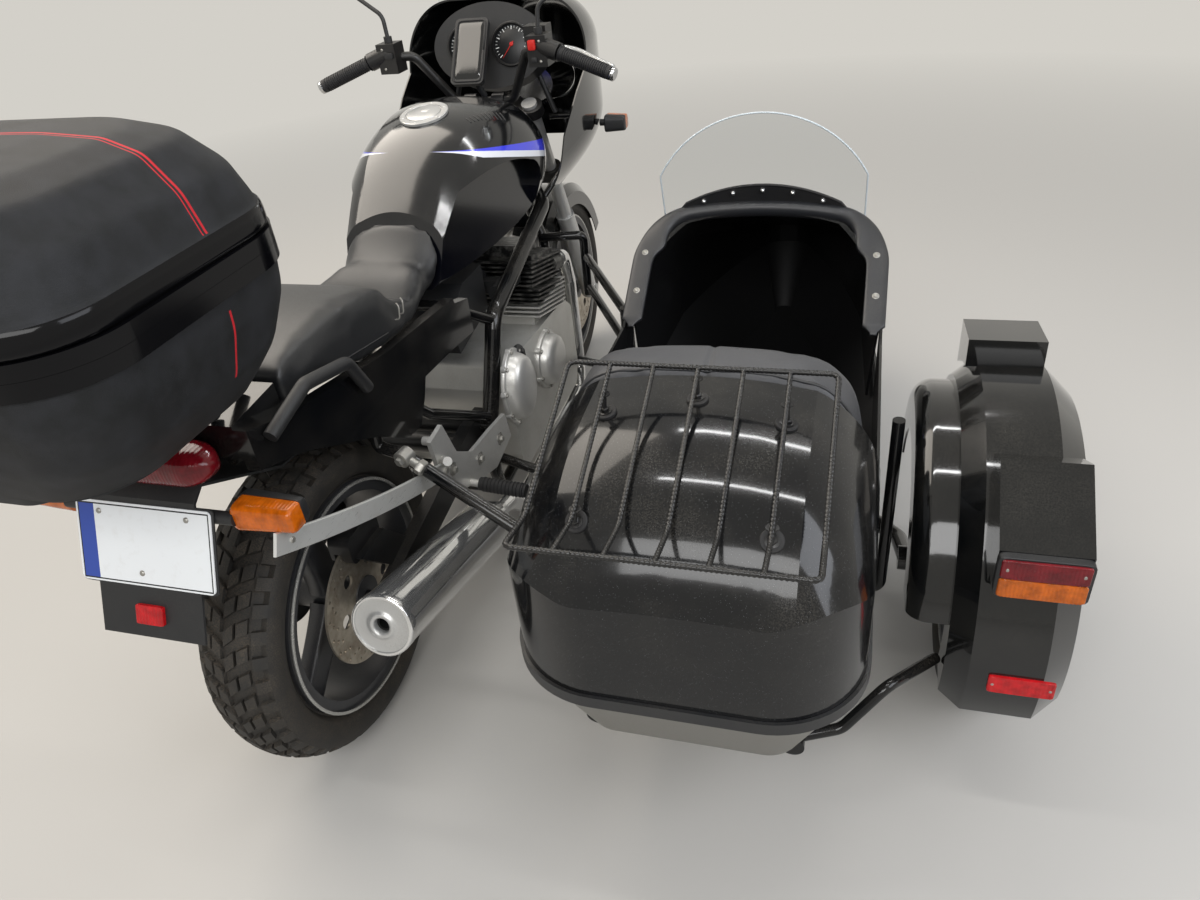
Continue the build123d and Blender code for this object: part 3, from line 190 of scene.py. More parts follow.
def roundedPath(corners, radius, step):
    # straight runs with each corner replaced by a parabola that starts and ends radius away from it
    corners = np.asarray(corners, dtype=float)
    pieces = [corners[:1]]
    for before, corner, after in zip(corners[:-2], corners[1:-1], corners[2:]):
        back, ahead = before - corner, after - corner
        start = corner + back * min(0.49, radius / np.linalg.norm(back))
        end = corner + ahead * min(0.49, radius / np.linalg.norm(ahead))
        t = np.linspace(0, 1, 9)[:, None]
        pieces.append((1 - t) ** 2 * start + 2 * t * (1 - t) * corner + t ** 2 * end)
    pieces.append(corners[-1:])
    line = np.concatenate(pieces)
    run = runAlong(line)
    return spaced(line, run, np.linspace(0, run[-1], max(2, int(run[-1] / step) + 1)))


def tubeGrid(path, radius, sides=12, side=(0.013, 0.021, 1.0), ribs=None):
    # rings about a path: centre + radius x (cos a, sin a), closed at both ends on the path itself;
    # ribs = (pitch, height) raises two ribs that wind round it
    run = unit(np.gradient(path, axis=0))
    across = unit(np.cross(run, side))
    upward = np.cross(across, run)
    angle = fullTurn(sides)
    size = np.broadcast_to(np.asarray(radius, dtype=float), (len(path),))[:, None] * np.ones(sides)
    if ribs:
        size = size + ribs[1] * np.cos(2 * (angle - 2 * math.pi * runAlong(path)[:, None] / ribs[0]))
    rings = path[:, None] + size[..., None] * (
        np.cos(angle)[None, :, None] * across[:, None] + np.sin(angle)[None, :, None] * upward[:, None])
    first = np.repeat(path[:1, None], sides, axis=1)
    last = np.repeat(path[-1:, None], sides, axis=1)
    return np.concatenate([first, rings, last])


def turnedGrid(profile, centre, axis, sides=32):
    # a profile of (along, radius) turned about an axis through centre
    axis = unit(axis)
    across = unit(np.cross(axis, (0.3, 0.2, 1.0) if abs(axis[2]) < 0.9 else (1.0, 0.1, 0.2)))
    upward = np.cross(axis, across)
    profile = np.asarray(profile, dtype=float)
    angle = fullTurn(sides)
    ring = np.cos(angle)[:, None] * across + np.sin(angle)[:, None] * upward
    return np.asarray(centre) + profile[:, 0, None, None] * axis + profile[:, 1, None, None] * ring[None]


def fastener(spot, axis, radius, height, sides=6, dome=False):
    # a bolt, nut or dome seen from outside: a low turned form whose foot is sunk in what it holds
    if dome:
        t = np.linspace(0, math.pi / 2, 6)
        profile = [(-1, radius)] + [(height * math.sin(v), radius * math.cos(v)) for v in t]
    else:
        profile = [(-1, radius), (height * 0.8, radius), (height, radius * 0.84), (height, 0)]
    return turnedGrid(profile, spot, axis, sides)


def colour(code):
    # sRGB hex to linear
    parts = [int(code[k:k + 2], 16) / 255 for k in (0, 2, 4)]
    return [v / 12.92 if v <= 0.04045 else ((v + 0.055) / 1.055) ** 2.4 for v in parts] + [1.0]


def addNode(material, kind, links=None, **settings):
    # one node; links gives a value or another node's socket for each of its inputs
    node = material.node_tree.nodes.new(kind)
    for key, value in settings.items():
        setattr(node, key, value)
    for key, value in (links or {}).items():
        if isinstance(value, bpy.types.NodeSocket):
            material.node_tree.links.new(value, node.inputs[key])
        else:
            node.inputs[key].default_value = value
    return node


def newFinish(name, base, roughness, metallic=0.0, coat=0.0):
    material = bpy.data.materials.new(name)
    material.use_nodes = True
    shader = material.node_tree.nodes["Principled BSDF"]
    shader.inputs["Base Color"].default_value = colour(base)
    shader.inputs["Roughness"].default_value = roughness
    shader.inputs["Metallic"].default_value = metallic
    shader.inputs["Coat Weight"].default_value = coat
    shader.inputs["Coat Roughness"].default_value = 0.06
    if coat and not metallic:
        shader.inputs["Specular IOR Level"].default_value = 0.2
    coords = addNode(material, "ShaderNodeTexCoord").outputs["Object"]
    return material, shader, coords


def noise(material, coords, scale, detail=3.0, rough=0.55):
    return addNode(material, "ShaderNodeTexNoise",
                   {"Vector": coords, "Scale": scale, "Detail": detail, "Roughness": rough}).outputs["Fac"]


def spread(material, value, low, high, toLow=0.0, toHigh=1.0):
    # a value between low and high stretched to toLow..toHigh
    return addNode(material, "ShaderNodeMapRange",
                   {"Value": value, "From Min": low, "From Max": high, "To Min": toLow, "To Max": toHigh},
                   clamp=True).outputs["Result"]


def maths(material, operation, first, second=0.0):
    return addNode(material, "ShaderNodeMath", {0: first, 1: second}, operation=operation).outputs[0]


def blendColour(material, share, first, second):
    node = addNode(material, "ShaderNodeMix", data_type="RGBA")
    for socket, value in ((node.inputs[0], share), (node.inputs[6], first), (node.inputs[7], second)):
        if isinstance(value, bpy.types.NodeSocket):
            material.node_tree.links.new(value, socket)
        else:
            socket.default_value = value
    return node.outputs[2]


def between(material, value, low, high):
    # 1 where a value lies between two others, and 0 elsewhere
    return maths(material, "MULTIPLY", maths(material, "GREATER_THAN", value, low),
                 maths(material, "LESS_THAN", value, high))


def axesOf(material, vector):
    parts = addNode(material, "ShaderNodeSeparateXYZ", {0: vector}).outputs
    return parts["X"], parts["Y"], parts["Z"]


def join(material, value, socket):
    material.node_tree.links.new(value, socket)


def addBump(material, shader, height, strength, distance):
    bump = addNode(material, "ShaderNodeBump",
                   {"Height": height, "Strength": strength, "Distance": distance})
    join(material, bump.outputs["Normal"], shader.inputs["Normal"])


def dustOver(material, shader, coords, base, dust, patchScale, low, high, most, roughLow, roughHigh):
    # dust in soft patches, thicker where the surface faces up, with grains in it
    facing = axesOf(material, addNode(material, "ShaderNodeTexCoord").outputs["Normal"])[2]
    patches = spread(material, noise(material, coords, patchScale, 4.0), low, high)
    grains = spread(material, noise(material, coords, 420.0, 2.0), 0.35, 0.75)
    top = spread(material, facing, -0.2, 0.9, 0.35, 1.0)
    cover = maths(material, "MULTIPLY", maths(material, "MULTIPLY", patches, grains), top)
    share = maths(material, "MULTIPLY", cover, most)
    clean = colour(base) if isinstance(base, str) else base
    join(material, blendColour(material, share, clean, colour(dust)), shader.inputs["Base Color"])
    join(material, spread(material, cover, 0.0, 1.0, roughLow, roughHigh), shader.inputs["Roughness"])
    return cover


def paintedPlain(name, base, dust, roughLow, roughHigh, most, coat=0.0, grain=0.0, grainScale=900.0):
    # paint or plastic with dust; grain is a fine moulded texture
    material, shader, coords = newFinish(name, base, roughLow, coat=coat)
    dustOver(material, shader, coords, base, dust, 7.0, 0.38, 0.8, most, roughLow, roughHigh)
    if grain:
        addBump(material, shader, noise(material, coords, grainScale, 2.0), grain, 0.0004)
    return material


def paintCockpitShade(material, shader, coords):
    # painted shade: inner faces, whose normals point to the middle of the cockpit, are painted near black and
    # made dull
    middle = addNode(material, "ShaderNodeVectorMath", {0: coords, 1: tuple(place((738, 600, 520)))},
                     operation="SUBTRACT").outputs["Vector"]
    normal = addNode(material, "ShaderNodeTexCoord").outputs["Normal"]
    facing = addNode(material, "ShaderNodeVectorMath", {0: middle, 1: normal}, operation="DOT_PRODUCT")
    inside = maths(material, "LESS_THAN", facing.outputs["Value"], 0.0)
    painted = shader.inputs["Base Color"].links[0].from_socket
    join(material, blendColour(material, inside, painted, colour("08080a")), shader.inputs["Base Color"])
    dull = shader.inputs["Roughness"].links[0].from_socket
    join(material, maths(material, "MAXIMUM", dull, maths(material, "MULTIPLY", inside, 0.7)),
         shader.inputs["Roughness"])


def makeShellGrey():
    # dusty grey paint outside, and painted shade inside the cockpit: near black and dull
    material = paintedPlain("shellGrey", "6e6c66", "9b9385", 0.4, 0.7, 0.4, grain=0.2, grainScale=300.0)
    shader = material.node_tree.nodes["Principled BSDF"]
    paintCockpitShade(material, shader, addNode(material, "ShaderNodeTexCoord").outputs["Object"])
    return material


def makeFleckBlack():
    # gloss black with fine metal flecks and settled dust
    material, shader, coords = newFinish("fleckBlack", "0b0c0d", 0.2, coat=0.5)
    cells = addNode(material, "ShaderNodeTexVoronoi", {"Vector": coords, "Scale": 520.0})
    flecks = spread(material, cells.outputs["Distance"], 0.2, 0.05)
    some = spread(material, noise(material, coords, 260.0, 1.0), 0.5, 0.66)
    share = maths(material, "MULTIPLY", flecks, some)
    base = blendColour(material, share, colour("0a0b0d"), colour("8b8d90"))
    dustOver(material, shader, coords, base, "6f6a60", 9.0, 0.42, 0.85, 0.32, 0.14, 0.42)
    # painted shade: the cockpit's inner faces near black
    paintCockpitShade(material, shader, coords)
    return material


tankWedge = {"tipY": 678, "tipZ": 974, "endY": 1062, "endZ": 865, "blue": 34.5, "white": 14, "taper": 45}


def makeTankPaint():
    # gloss black, with a blue over white wedge worked out from height and length
    material, shader, coords = newFinish("tankPaint", "08090b", 0.1, coat=0.9)
    shader.inputs["Coat Roughness"].default_value = 0.15
    _, y, z = axesOf(material, coords)
    # the black is a shade darker and bluer below 0.80 m and a little lighter above 0.88 m
    base = blendColour(material, spread(material, z, 0.80, 0.88), colour("05060d"), colour("090a0c"))
    wedge = tankWedge
    tipY, endY = wedge["tipY"] / 1000 + bikeOrigin[1], wedge["endY"] / 1000 + bikeOrigin[1]
    along = spread(material, y, tipY, endY)
    middle = spread(material, along, 0.0, 1.0, wedge["tipZ"] / 1000, wedge["endZ"] / 1000)
    above = maths(material, "SUBTRACT", z, middle)
    within = between(material, y, tipY, endY)
    blueHigh = maths(material, "MULTIPLY", along, wedge["blue"] / 1000)
    full = wedge["taper"] / (wedge["endY"] - wedge["tipY"])
    whiteLow = spread(material, along, 0.0, full, 0.0, -wedge["white"] / 1000)
    blue = between(material, above, 0.0, blueHigh)
    white = between(material, above, whiteLow, 0.0)
    base = blendColour(material, maths(material, "MULTIPLY", blue, within), base, colour("3a3fd0"))
    base = blendColour(material, maths(material, "MULTIPLY", white, within), base, colour("d8dadf"))
    dustOver(material, shader, coords, base, "8a857a", 11.0, 0.5, 0.95, 0.14, 0.08, 0.26)
    return material


def makeCastAluminium(name, base, stain, roughness):
    # metal with stains in soft patches and a fine cast grain
    material, shader, coords = newFinish(name, base, roughness, metallic=0.6)
    dustOver(material, shader, coords, base, stain, 16.0, 0.42, 0.8, 0.65, roughness - 0.05, 0.8)
    addBump(material, shader, noise(material, coords, 700.0, 3.0), 0.25, 0.0003)
    return material


def makeEngineAlloy():
    # cast cases, with the barrel above them painted black and rubbed bright in soft random patches
    material = makeCastAluminium("engineAlloy", "c4c3be", "5f5648", 0.42)
    shader = material.node_tree.nodes["Principled BSDF"]
    coords = addNode(material, "ShaderNodeTexCoord").outputs["Object"]
    barrel = maths(material, "GREATER_THAN", axesOf(material, coords)[2], 0.548)
    worn = spread(material, noise(material, coords, 45.0, 4.0), 0.45, 0.7, 0.0, 0.5)
    cast = shader.inputs["Base Color"].links[0].from_socket
    painted = blendColour(material, worn, colour("1c1c1d"), colour("a5a39c"))
    join(material, blendColour(material, barrel, cast, painted), shader.inputs["Base Color"])
    return material


def makeBrushedAluminium():
    # scratches drawn out along the strip
    material, shader, coords = newFinish("brushedAluminium", "d6d6d2", 0.4, metallic=0.55)
    long = addNode(material, "ShaderNodeMapping", {"Vector": coords, "Scale": (900.0, 30.0, 900.0)}).outputs[0]
    lines = noise(material, long, 1.0, 3.0)
    join(material, spread(material, lines, 0.3, 0.7, 0.26, 0.46), shader.inputs["Roughness"])
    blot = spread(material, noise(material, coords, 22.0, 4.0), 0.55, 0.85)
    share = maths(material, "MULTIPLY", blot, 0.4)
    join(material, blendColour(material, share, colour("d6d6d2"), colour("a59c8e")),
         shader.inputs["Base Color"])
    addBump(material, shader, lines, 0.2, 0.0002)
    return material


def makeChrome():
    # bright plate with specks and haze where it has dulled
    material, shader, coords = newFinish("chromePlate", "dcdcdb", 0.08, metallic=0.88)
    specks = spread(material, noise(material, coords, 260.0, 3.0), 0.58, 0.72)
    haze = spread(material, noise(material, coords, 14.0, 4.0), 0.45, 0.8)
    share = maths(material, "MULTIPLY", maths(material, "MULTIPLY", specks, haze), 0.7)
    join(material, blendColour(material, share, colour("dcdcdb"), colour("7b6b55")),
         shader.inputs["Base Color"])
    join(material, spread(material, haze, 0.0, 1.0, 0.05, 0.26), shader.inputs["Roughness"])
    return material


def makeTyreRubber():
    # worn rubber with dried dirt
    material, shader, coords = newFinish("tyreRubber", "1a1917", 0.8)
    dustOver(material, shader, coords, "1a1917", "746756", 24.0, 0.25, 0.7, 0.62, 0.66, 0.95)
    addBump(material, shader, noise(material, coords, 500.0, 3.0), 0.3, 0.0004)
    return material


def makeVinyl(name, base, dust, roughness, grain):
    # pebbled grain from small cells
    material, shader, coords = newFinish(name, base, roughness)
    cells = addNode(material, "ShaderNodeTexVoronoi", {"Vector": coords, "Scale": 620.0},
                    feature="DISTANCE_TO_EDGE")
    dustOver(material, shader, coords, base, dust, 6.0, 0.4, 0.85, 0.35, roughness - 0.06, 0.7)
    height = maths(material, "ADD", cells.outputs["Distance"],
                   maths(material, "MULTIPLY", noise(material, coords, 90.0, 3.0), 0.5))
    addBump(material, shader, height, grain, 0.0005)
    return material


def makeCasePlastic(name, glossAbove, glossBelow, stripes, stripeLow, stripeHigh):
    # pebbled dark plastic with a gloss black stretch between two heights, and red lines across the case
    material, shader, coords = newFinish(name, "27282a", 0.55)
    shader.inputs["Specular IOR Level"].default_value = 0.22
    _, y, height = axesOf(material, coords)
    gloss = between(material, height, glossAbove / 1000, glossBelow / 1000)
    grain = noise(material, coords, 1100.0, 2.0)
    patches = spread(material, noise(material, coords, 30.0, 5.0), 0.35, 0.75)
    dull = blendColour(material, patches, colour("1b1c1d"), colour("27282b"))
    base = blendColour(material, gloss, dull, colour("08080a"))
    tall = between(material, height, stripeLow / 1000, stripeHigh / 1000)
    for middle, half in stripes:
        off = maths(material, "SUBTRACT", y, middle / 1000 + float(bikeOrigin[1]))
        line = maths(material, "LESS_THAN", maths(material, "ABSOLUTE", off), half / 1000)
        base = blendColour(material, maths(material, "MULTIPLY", line, tall), base, colour("b5232b"))
    join(material, base, shader.inputs["Base Color"])
    join(material, spread(material, gloss, 0.0, 1.0, 0.62, 0.12), shader.inputs["Roughness"])
    matte = maths(material, "SUBTRACT", 1.0, gloss)
    addBump(material, shader, maths(material, "MULTIPLY", grain, matte), 0.7, 0.0006)
    return material


def makeDiscSteel():
    # steel with brown blots
    material, shader, coords = newFinish("discSteel", "a89f90", 0.34, metallic=0.85)
    blot = spread(material, noise(material, coords, 30.0, 4.0), 0.4, 0.75)
    join(material, blendColour(material, blot, colour("b8b0a2"), colour("85796a")), shader.inputs["Base Color"])
    join(material, spread(material, blot, 0.0, 1.0, 0.32, 0.6), shader.inputs["Roughness"])
    return material


def makeLens(name, base, roughness):
    # ribbed coloured plastic that lets a little light in
    material, shader, coords = newFinish(name, base, roughness, coat=0.4)
    shader.inputs["Subsurface Weight"].default_value = 0.12
    shader.inputs["Subsurface Radius"].default_value = (0.01, 0.004, 0.002)
    wave = addNode(material, "ShaderNodeTexWave", {"Vector": coords, "Scale": 55.0}, bands_direction="X")
    shade = spread(material, noise(material, coords, 60.0, 2.0), 0.3, 0.7)
    dark = [v * 0.55 for v in colour(base)[:3]] + [1.0]
    join(material, blendColour(material, shade, dark, colour(base)), shader.inputs["Base Color"])
    addBump(material, shader, wave.outputs["Fac"], 0.35, 0.0008)
    return material


def makeClear():
    # thin clear sheet with a few rubbed, dusty places
    material, shader, coords = newFinish("clearSheet", "f4f6f7", 0.03)
    shader.inputs["Transmission Weight"].default_value = 1.0
    shader.inputs["IOR"].default_value = 1.08
    shader.inputs["Specular IOR Level"].default_value = 0.5
    blot = spread(material, noise(material, coords, 12.0, 5.0), 0.45, 0.85)
    join(material, spread(material, blot, 0.0, 1.0, 0.02, 0.2), shader.inputs["Roughness"])
    return material


plateMarks = {"borderOuter": 0.0032, "borderInner": 0.0052, "strip": 0.032}


def makePlate():
    # blank white plate with a black border and a plain blue strip at its left end
    material, shader, coords = newFinish("plateWhite", "dfe1e1", 0.3)
    low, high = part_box("number_plate")
    axes = axesOf(material, coords)
    edges, insides = [], []
    for k in (0, 2):
        off = maths(material, "ABSOLUTE", maths(material, "SUBTRACT", axes[k], (low[k] + high[k]) / 2))
        half = (high[k] - low[k]) / 2
        outer = half - plateMarks["borderOuter"]
        edges.append(between(material, off, half - plateMarks["borderInner"], outer))
        insides.append(maths(material, "LESS_THAN", off, outer))
    border = maths(material, "MAXIMUM", maths(material, "MULTIPLY", edges[0], insides[1]),
                   maths(material, "MULTIPLY", edges[1], insides[0]))
    strip = maths(material, "LESS_THAN", axes[0], low[0] + plateMarks["strip"])
    for inside in insides:
        strip = maths(material, "MULTIPLY", strip, inside)
    grime = spread(material, noise(material, coords, 60.0, 5.0), 0.55, 0.9, 0.0, 0.3)
    base = blendColour(material, grime, colour("e4e6e6"), colour("bdb7ad"))
    base = blendColour(material, strip, base, colour("2c479c"))
    join(material, blendColour(material, border, base, colour("131416")), shader.inputs["Base Color"])
    return material


def plainFinish(name, *values):
    return newFinish(name, *values)[0]


finishes = {
    "fleckBlack": makeFleckBlack(),
    "tankPaint": makeTankPaint(),
    "shellGrey": makeShellGrey(),
    "engineAlloy": makeEngineAlloy(),
    "brushedAluminium": makeBrushedAluminium(),
    "chromePlate": makeChrome(),
    "discSteel": makeDiscSteel(),
    "tyreRubber": makeTyreRubber(),
    "clearSheet": makeClear(),
    "plateWhite": makePlate(),
    "lidPlastic": makeCasePlastic("lidPlastic", 1000, 1168, [(-310, 1.7), (-316, 0.8)], 1170, 1500),
    "basePlastic": makeCasePlastic("basePlastic", 1101, 1200, [(-318, 1.7)], 997, 1084),
}
finishRows = {
    # colour, dust's colour, roughness clean and dusty, most dust, clear coat, grain
    paintedPlain: {
        "glossPaint": ("08090a", "6f6a60", 0.1, 0.35, 0.2, 0.8),
        "glossPlastic": ("0a0b0d", "857d70", 0.14, 0.5, 0.3, 0.4),
        "satinBlack": ("101113", "6f6658", 0.32, 0.7, 0.4, 0.0, 0.15),
        "mattePlastic": ("18191b", "6a655c", 0.5, 0.8, 0.3, 0.0, 0.5),
        "bandGrey": ("1d1e20", "6f6a60", 0.35, 0.6, 0.4),
        "rimPaint": ("2b2c2f", "70695e", 0.35, 0.6, 0.45),
        "softRubber": ("141416", "5f5a52", 0.6, 0.85, 0.35, 0.0, 0.3),
        "rackSteel": ("0e0e0f", "6f6a60", 0.26, 0.6, 0.4, 0.0, 0.25),
        "blackSteel": ("121213", "6f6a60", 0.3, 0.6, 0.4),
        "switchRed": ("c22018", "7a6a60", 0.3, 0.6, 0.2),
    },
    # colour, stain's colour, roughness
    makeCastAluminium: {
        "castAluminium": ("b6b5b1", "5a5144", 0.44),
        "machinedEdge": ("b4b3ae", "5b5347", 0.28),
        "coverAluminium": ("cbcac6", "6a6052", 0.38),
        "satinSteel": ("bdbdbb", "746a5c", 0.34),
        "zincPlate": ("9c9a94", "6d6450", 0.34),
    },
    # colour, dust's colour, roughness, grain
    makeVinyl: {
        "seatVinyl": ("1c1d1f", "5b5852", 0.42, 0.35),
        "greyVinyl": ("3c3d40", "6e6b66", 0.5, 0.5),
        "rimVinyl": ("232427", "6b665d", 0.42, 0.35),
    },
    # colour, roughness
    makeLens: {"redLens": ("74101a", 0.12), "amberLens": ("cc6410", 0.12), "reflectorRed": ("c8141b", 0.2)},
    # colour, roughness, metal, clear coat
    plainFinish: {
        "brightSteel": ("c4c5c6", 0.16, 1.0),
        "soot": ("0b0a09", 0.95),
        "darkGlass": ("0a0b0c", 0.06, 0.0, 1.0),
        "dialFace": ("1a1b1d", 0.4),
        "dialMark": ("d9dad6", 0.5),
        "flutedGlass": ("c3c9cd", 0.1, 0.5, 1.0),
        # painted highlight: pale opaque colour along the screen sheet's edge
        "paintedEdgeHighlight": ("c9d2d6", 0.18),
        "mirrorGlass": ("dfe2e4", 0.02, 1.0),
    },
}
for maker, rows in finishRows.items():
    for name, values in rows.items():
        finishes[name] = maker(name, *values)
print("finishes made,", len(finishes))

# which finish each node wears
nodeFinishes = {
    "fleckBlack": ["tub_upper"],
    "tankPaint": ["fuel_tank"],
    "glossPaint": ["wheel_fender", "fairing", "front_mudguard"],
    "glossPlastic": ["tail_panels", "bike_frame", "sidecar_frame"],
    "satinBlack": ["swing_arm", "fork_clamps", "handlebar", "luggage_rack"],
    "satinSteel": ["fork"],
    "mattePlastic": ["carburettors", "rear_mudguard", "instrument_pod", "phone_case", "rear_carrier",
                     "mirrors"],
    "shellGrey": ["tub_lower"],
    "bandGrey": ["tub_band"],
    "engineAlloy": ["engine"],
    "castAluminium": ["engine_covers"],
    "coverAluminium": ["footrest_carriers"],
    "chromePlate": ["exhaust"],
    "rimPaint": ["rear_rim", "front_rim", "sidecar_rim"],
    "discSteel": ["rear_disc", "front_discs"],
    "tyreRubber": ["rear_tyre", "front_tyre", "sidecar_tyre"],
    "softRubber": ["peg_rubbers", "grips", "cockpit_rim"],
    "seatVinyl": ["seat"],
    "greyVinyl": ["sidecar_seat"],
    "lidPlastic": ["top_case_lid"],
    "basePlastic": ["top_case_base"],
    "redLens": ["tail_lamp", "fender_lenses"],
    "amberLens": ["indicators"],
    "clearSheet": ["fairing_screen", "sidecar_screen"],
    "brightSteel": ["headlamp"],
    "plateWhite": ["number_plate"],
}
for finishName, names in nodeFinishes.items():
    for name in names:
        for slot in nodes[name].material_slots:
            slot.material = finishes[finishName]


def finishPiece(piece, body, finish, slotName, *replaced):
    # what every new piece needs: its finish and the body it rides on; slotName is not used
    piece.data.materials.clear()
    piece.data.materials.append(finishes[finish])
    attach(piece, body)
    if replaced:
        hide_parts(*replaced)
    return piece


def addPiece(name, grids, body, finish, slotName, *replaced, sharp=None):
    # grids whose rings are closed, joined as one finished piece
    piece = joined(name, [patch(grid, False, True) for grid in grids], sharp)
    return finishPiece(piece, body, finish, slotName, *replaced)


tyreForms = {
    # rows of blocks: inner and outer distance from the crown line (mm), lean and start as shares of a pitch,
    # and the share of the pitch that a block fills
    "rear_tyre": {
        "body": "rear_wheel", "rimSeat": 213, "rimHalf": 57, "pitches": 42, "depth": 8.0,
        "rows": [(2, 21, 0.3, 0.0, 0.62), (24, 45, 0.22, 0.3, 0.6), (49, 76, 0.05, 0.05, 0.58)],
    },
    "front_tyre": {
        "body": "front_wheel", "rimSeat": 213, "rimHalf": 46, "pitches": 46, "depth": 7.0,
        "rows": [(2, 17, 0.3, 0.0, 0.62), (20, 37, 0.22, 0.3, 0.6), (40, 60, 0.05, 0.05, 0.58)],
    },
    "sidecar_tyre": {
        "body": "sidecar_wheel", "rimSeat": 163, "rimHalf": 58, "pitches": 58, "depth": 5.0,
        "rows": [(2, 17, 0.9, 0.0, 0.8), (20, 40, 0.8, 0.25, 0.8), (43, 66, 0.45, 0.5, 0.78)],
    },
}


def tyreOutline(radius, width, rimSeat, rimHalf):
    # section from bead to bead as (x, r): wall arc, tread arc, wall arc
    wallFoot, shoulder, treadHalf = rimSeat + 21, radius - width * 0.15, width * 0.44
    bulge = (wallFoot + shoulder) / 2
    left = arcThrough((-rimHalf, wallFoot), (-width / 2, bulge), (-treadHalf, shoulder), 14)
    tread = arcThrough((-treadHalf, shoulder), (0, radius), (treadHalf, shoulder), 25)
    right = left[::-1] * (-1, 1)
    return np.concatenate([left[:-1], tread, right[1:]])


def onOutline(outline, distance, lift):
    # points at signed distances from the crown, lifted square to the section
    run = runAlong(outline)
    run -= run[-1] / 2
    along = unit(np.gradient(outline, axis=0))
    x = np.interp(distance, run, outline[:, 0]) - lift * np.interp(distance, run, along[:, 1])
    r = np.interp(distance, run, outline[:, 1]) + lift * np.interp(distance, run, along[:, 0])
    return x, r


def aroundAxle(x, r, angle, centre):
    # section points turned about an axle that runs along x
    x, r, angle = np.broadcast_arrays(x, r, angle)
    return np.stack([centre[0] + x, centre[1] + r * np.sin(angle), centre[2] + r * np.cos(angle)], -1)


def makeTyre(name, form):
    # carcass: the section lowered by the groove's depth where the blocks stand; each block is a cap whose
    # border lies below the carcass; thin rings run round both walls
    low, high = nodeBox(name)
    centre, radius, width = (low + high) / 2, (high[2] - low[2]) / 2, high[0] - low[0]
    outline = tyreOutline(radius, width, form["rimSeat"], form["rimHalf"])
    length = runAlong(outline)[-1]
    distance = np.linspace(-length / 2, length / 2, 61)
    edge = form["rows"][-1][1] - 9
    sink = -form["depth"] * np.clip((edge + 8 - np.abs(distance)) / 8, 0, 1)
    rings = 0.9 * (np.abs(np.abs(distance) - length / 2 + 16) < 2.4)
    x, r = onOutline(outline, distance, sink + rings)
    seat = form["rimSeat"] + 0.5
    x = np.concatenate([x, [form["rimHalf"] - 0.5, 0, 0.5 - form["rimHalf"]]])
    r = np.concatenate([r, [seat, seat, seat]])
    angle = fullTurn(120)[:, None]
    patches = [patch(aroundAxle(x[None], r[None], angle, centre), True, True)]
    pitch = 2 * math.pi / form["pitches"]
    turns = np.arange(form["pitches"])[:, None, None] * pitch
    for inner, outer, lean, start, share in form["rows"]:
        for side in (-1, 1):
            across = np.array([inner, *np.linspace(inner + 1.2, outer - 1.2, 4), outer])
            along = np.array([0, 0.07, 0.93, 1]) * share
            lift = np.full((4, 6), -form["depth"] - 1.5)
            lift[1:3, 1:5] = 0
            x, r = onOutline(outline, np.broadcast_to(side * across, (4, 6)), lift)
            fraction = start + along[:, None] + lean * (across - inner) / (outer - inner)
            half = 0.5 if side > 0 else 0.0
            block = aroundAxle(x[None], r[None], turns + (fraction + half)[None] * pitch, centre)
            patches.append(patch(block))
    finishPiece(joined("tread_" + name, patches, sharp=32), form["body"], "tyreRubber", "tyre", name)


rimForms = {
    "rear_rim": {"body": "rear_wheel", "edge": 230, "half": 65, "hub": 38, "floor": 205, "start": 100,
                 "root": (66, 44), "tip": (54, 37)},
    "front_rim": {"body": "front_wheel", "edge": 230, "half": 54, "hub": 38, "floor": 205, "start": 90,
                  "root": (62, 40), "tip": (50, 33)},
}


def makeRimEdges(name, edge, half, body, width=5.5):
    # machined band on the outer edge of each rim flange: a flat ring with eased corners
    low, high = nodeBox(name)
    centre = (low + high) / 2
    profile = [(half - 2, edge - width), (half + 0.4, edge - width), (half + 0.9, edge - width + 1),
               (half + 0.9, edge - 0.8), (half + 0.2, edge + 0.5), (half - 2, edge + 0.5)]
    angle = fullTurn(120)[:, None]
    patches = []
    for side in (-1, 1):
        x, r = np.array(profile).T
        patches.append(patch(aroundAxle(side * x[None], r[None], angle, centre), True, True))
    finishPiece(joined("edges_" + name, patches, sharp=40), body, "machinedEdge", "alloy_bright")


def makeSpokes(name, form):
    # three cast spokes: a rounded oblong section that narrows from the hub to the rim and flares at both ends
    low, high = nodeBox(name)
    centre = (low + high) / 2
    centre[0] = 0
    share = np.linspace(0, 1, 12)
    reach = form["hub"] - 6 + share * (form["floor"] + 3 - form["hub"] + 6)
    flare = 1 + 0.22 * (np.exp(-share * 9) + np.exp(-(1 - share) * 9))
    wide = (form["root"][0] + share * (form["tip"][0] - form["root"][0])) * flare / 2
    thick = (form["root"][1] + share * (form["tip"][1] - form["root"][1])) / 2
    across, through = squared(fullTurn(20), 0.42)
    dip = 1 - 0.16 * np.exp(-(across / 0.45) ** 2)
    spokes = []
    for index in range(3):
        angle = math.radians(90 - form["start"] - 120 * index)
        r = reach[:, None]
        t = wide[:, None] * across
        y = r * math.sin(angle) + t * math.cos(angle)
        z = r * math.cos(angle) - t * math.sin(angle)
        x = thick[:, None] * through * dip
        spokes.append(np.stack([centre[0] + x, centre[1] + y, centre[2] + z], -1))
    addPiece("spokes_" + name, spokes, form["body"], "rimPaint", "rim_grey", sharp=50)


for tyreName, tyreForm in tyreForms.items():
    makeTyre(tyreName, tyreForm)
for rimName, rimForm in rimForms.items():
    makeRimEdges(rimName, rimForm["edge"], rimForm["half"], rimForm["body"])
    makeSpokes(rimName, rimForm)
makeRimEdges("sidecar_rim", 180, 66, "sidecar_wheel")
print("wheels made")


muffler = {"tail": (211, -147, 404), "nose": (201, 383, 240), "shell": 58, "outlet": 15}


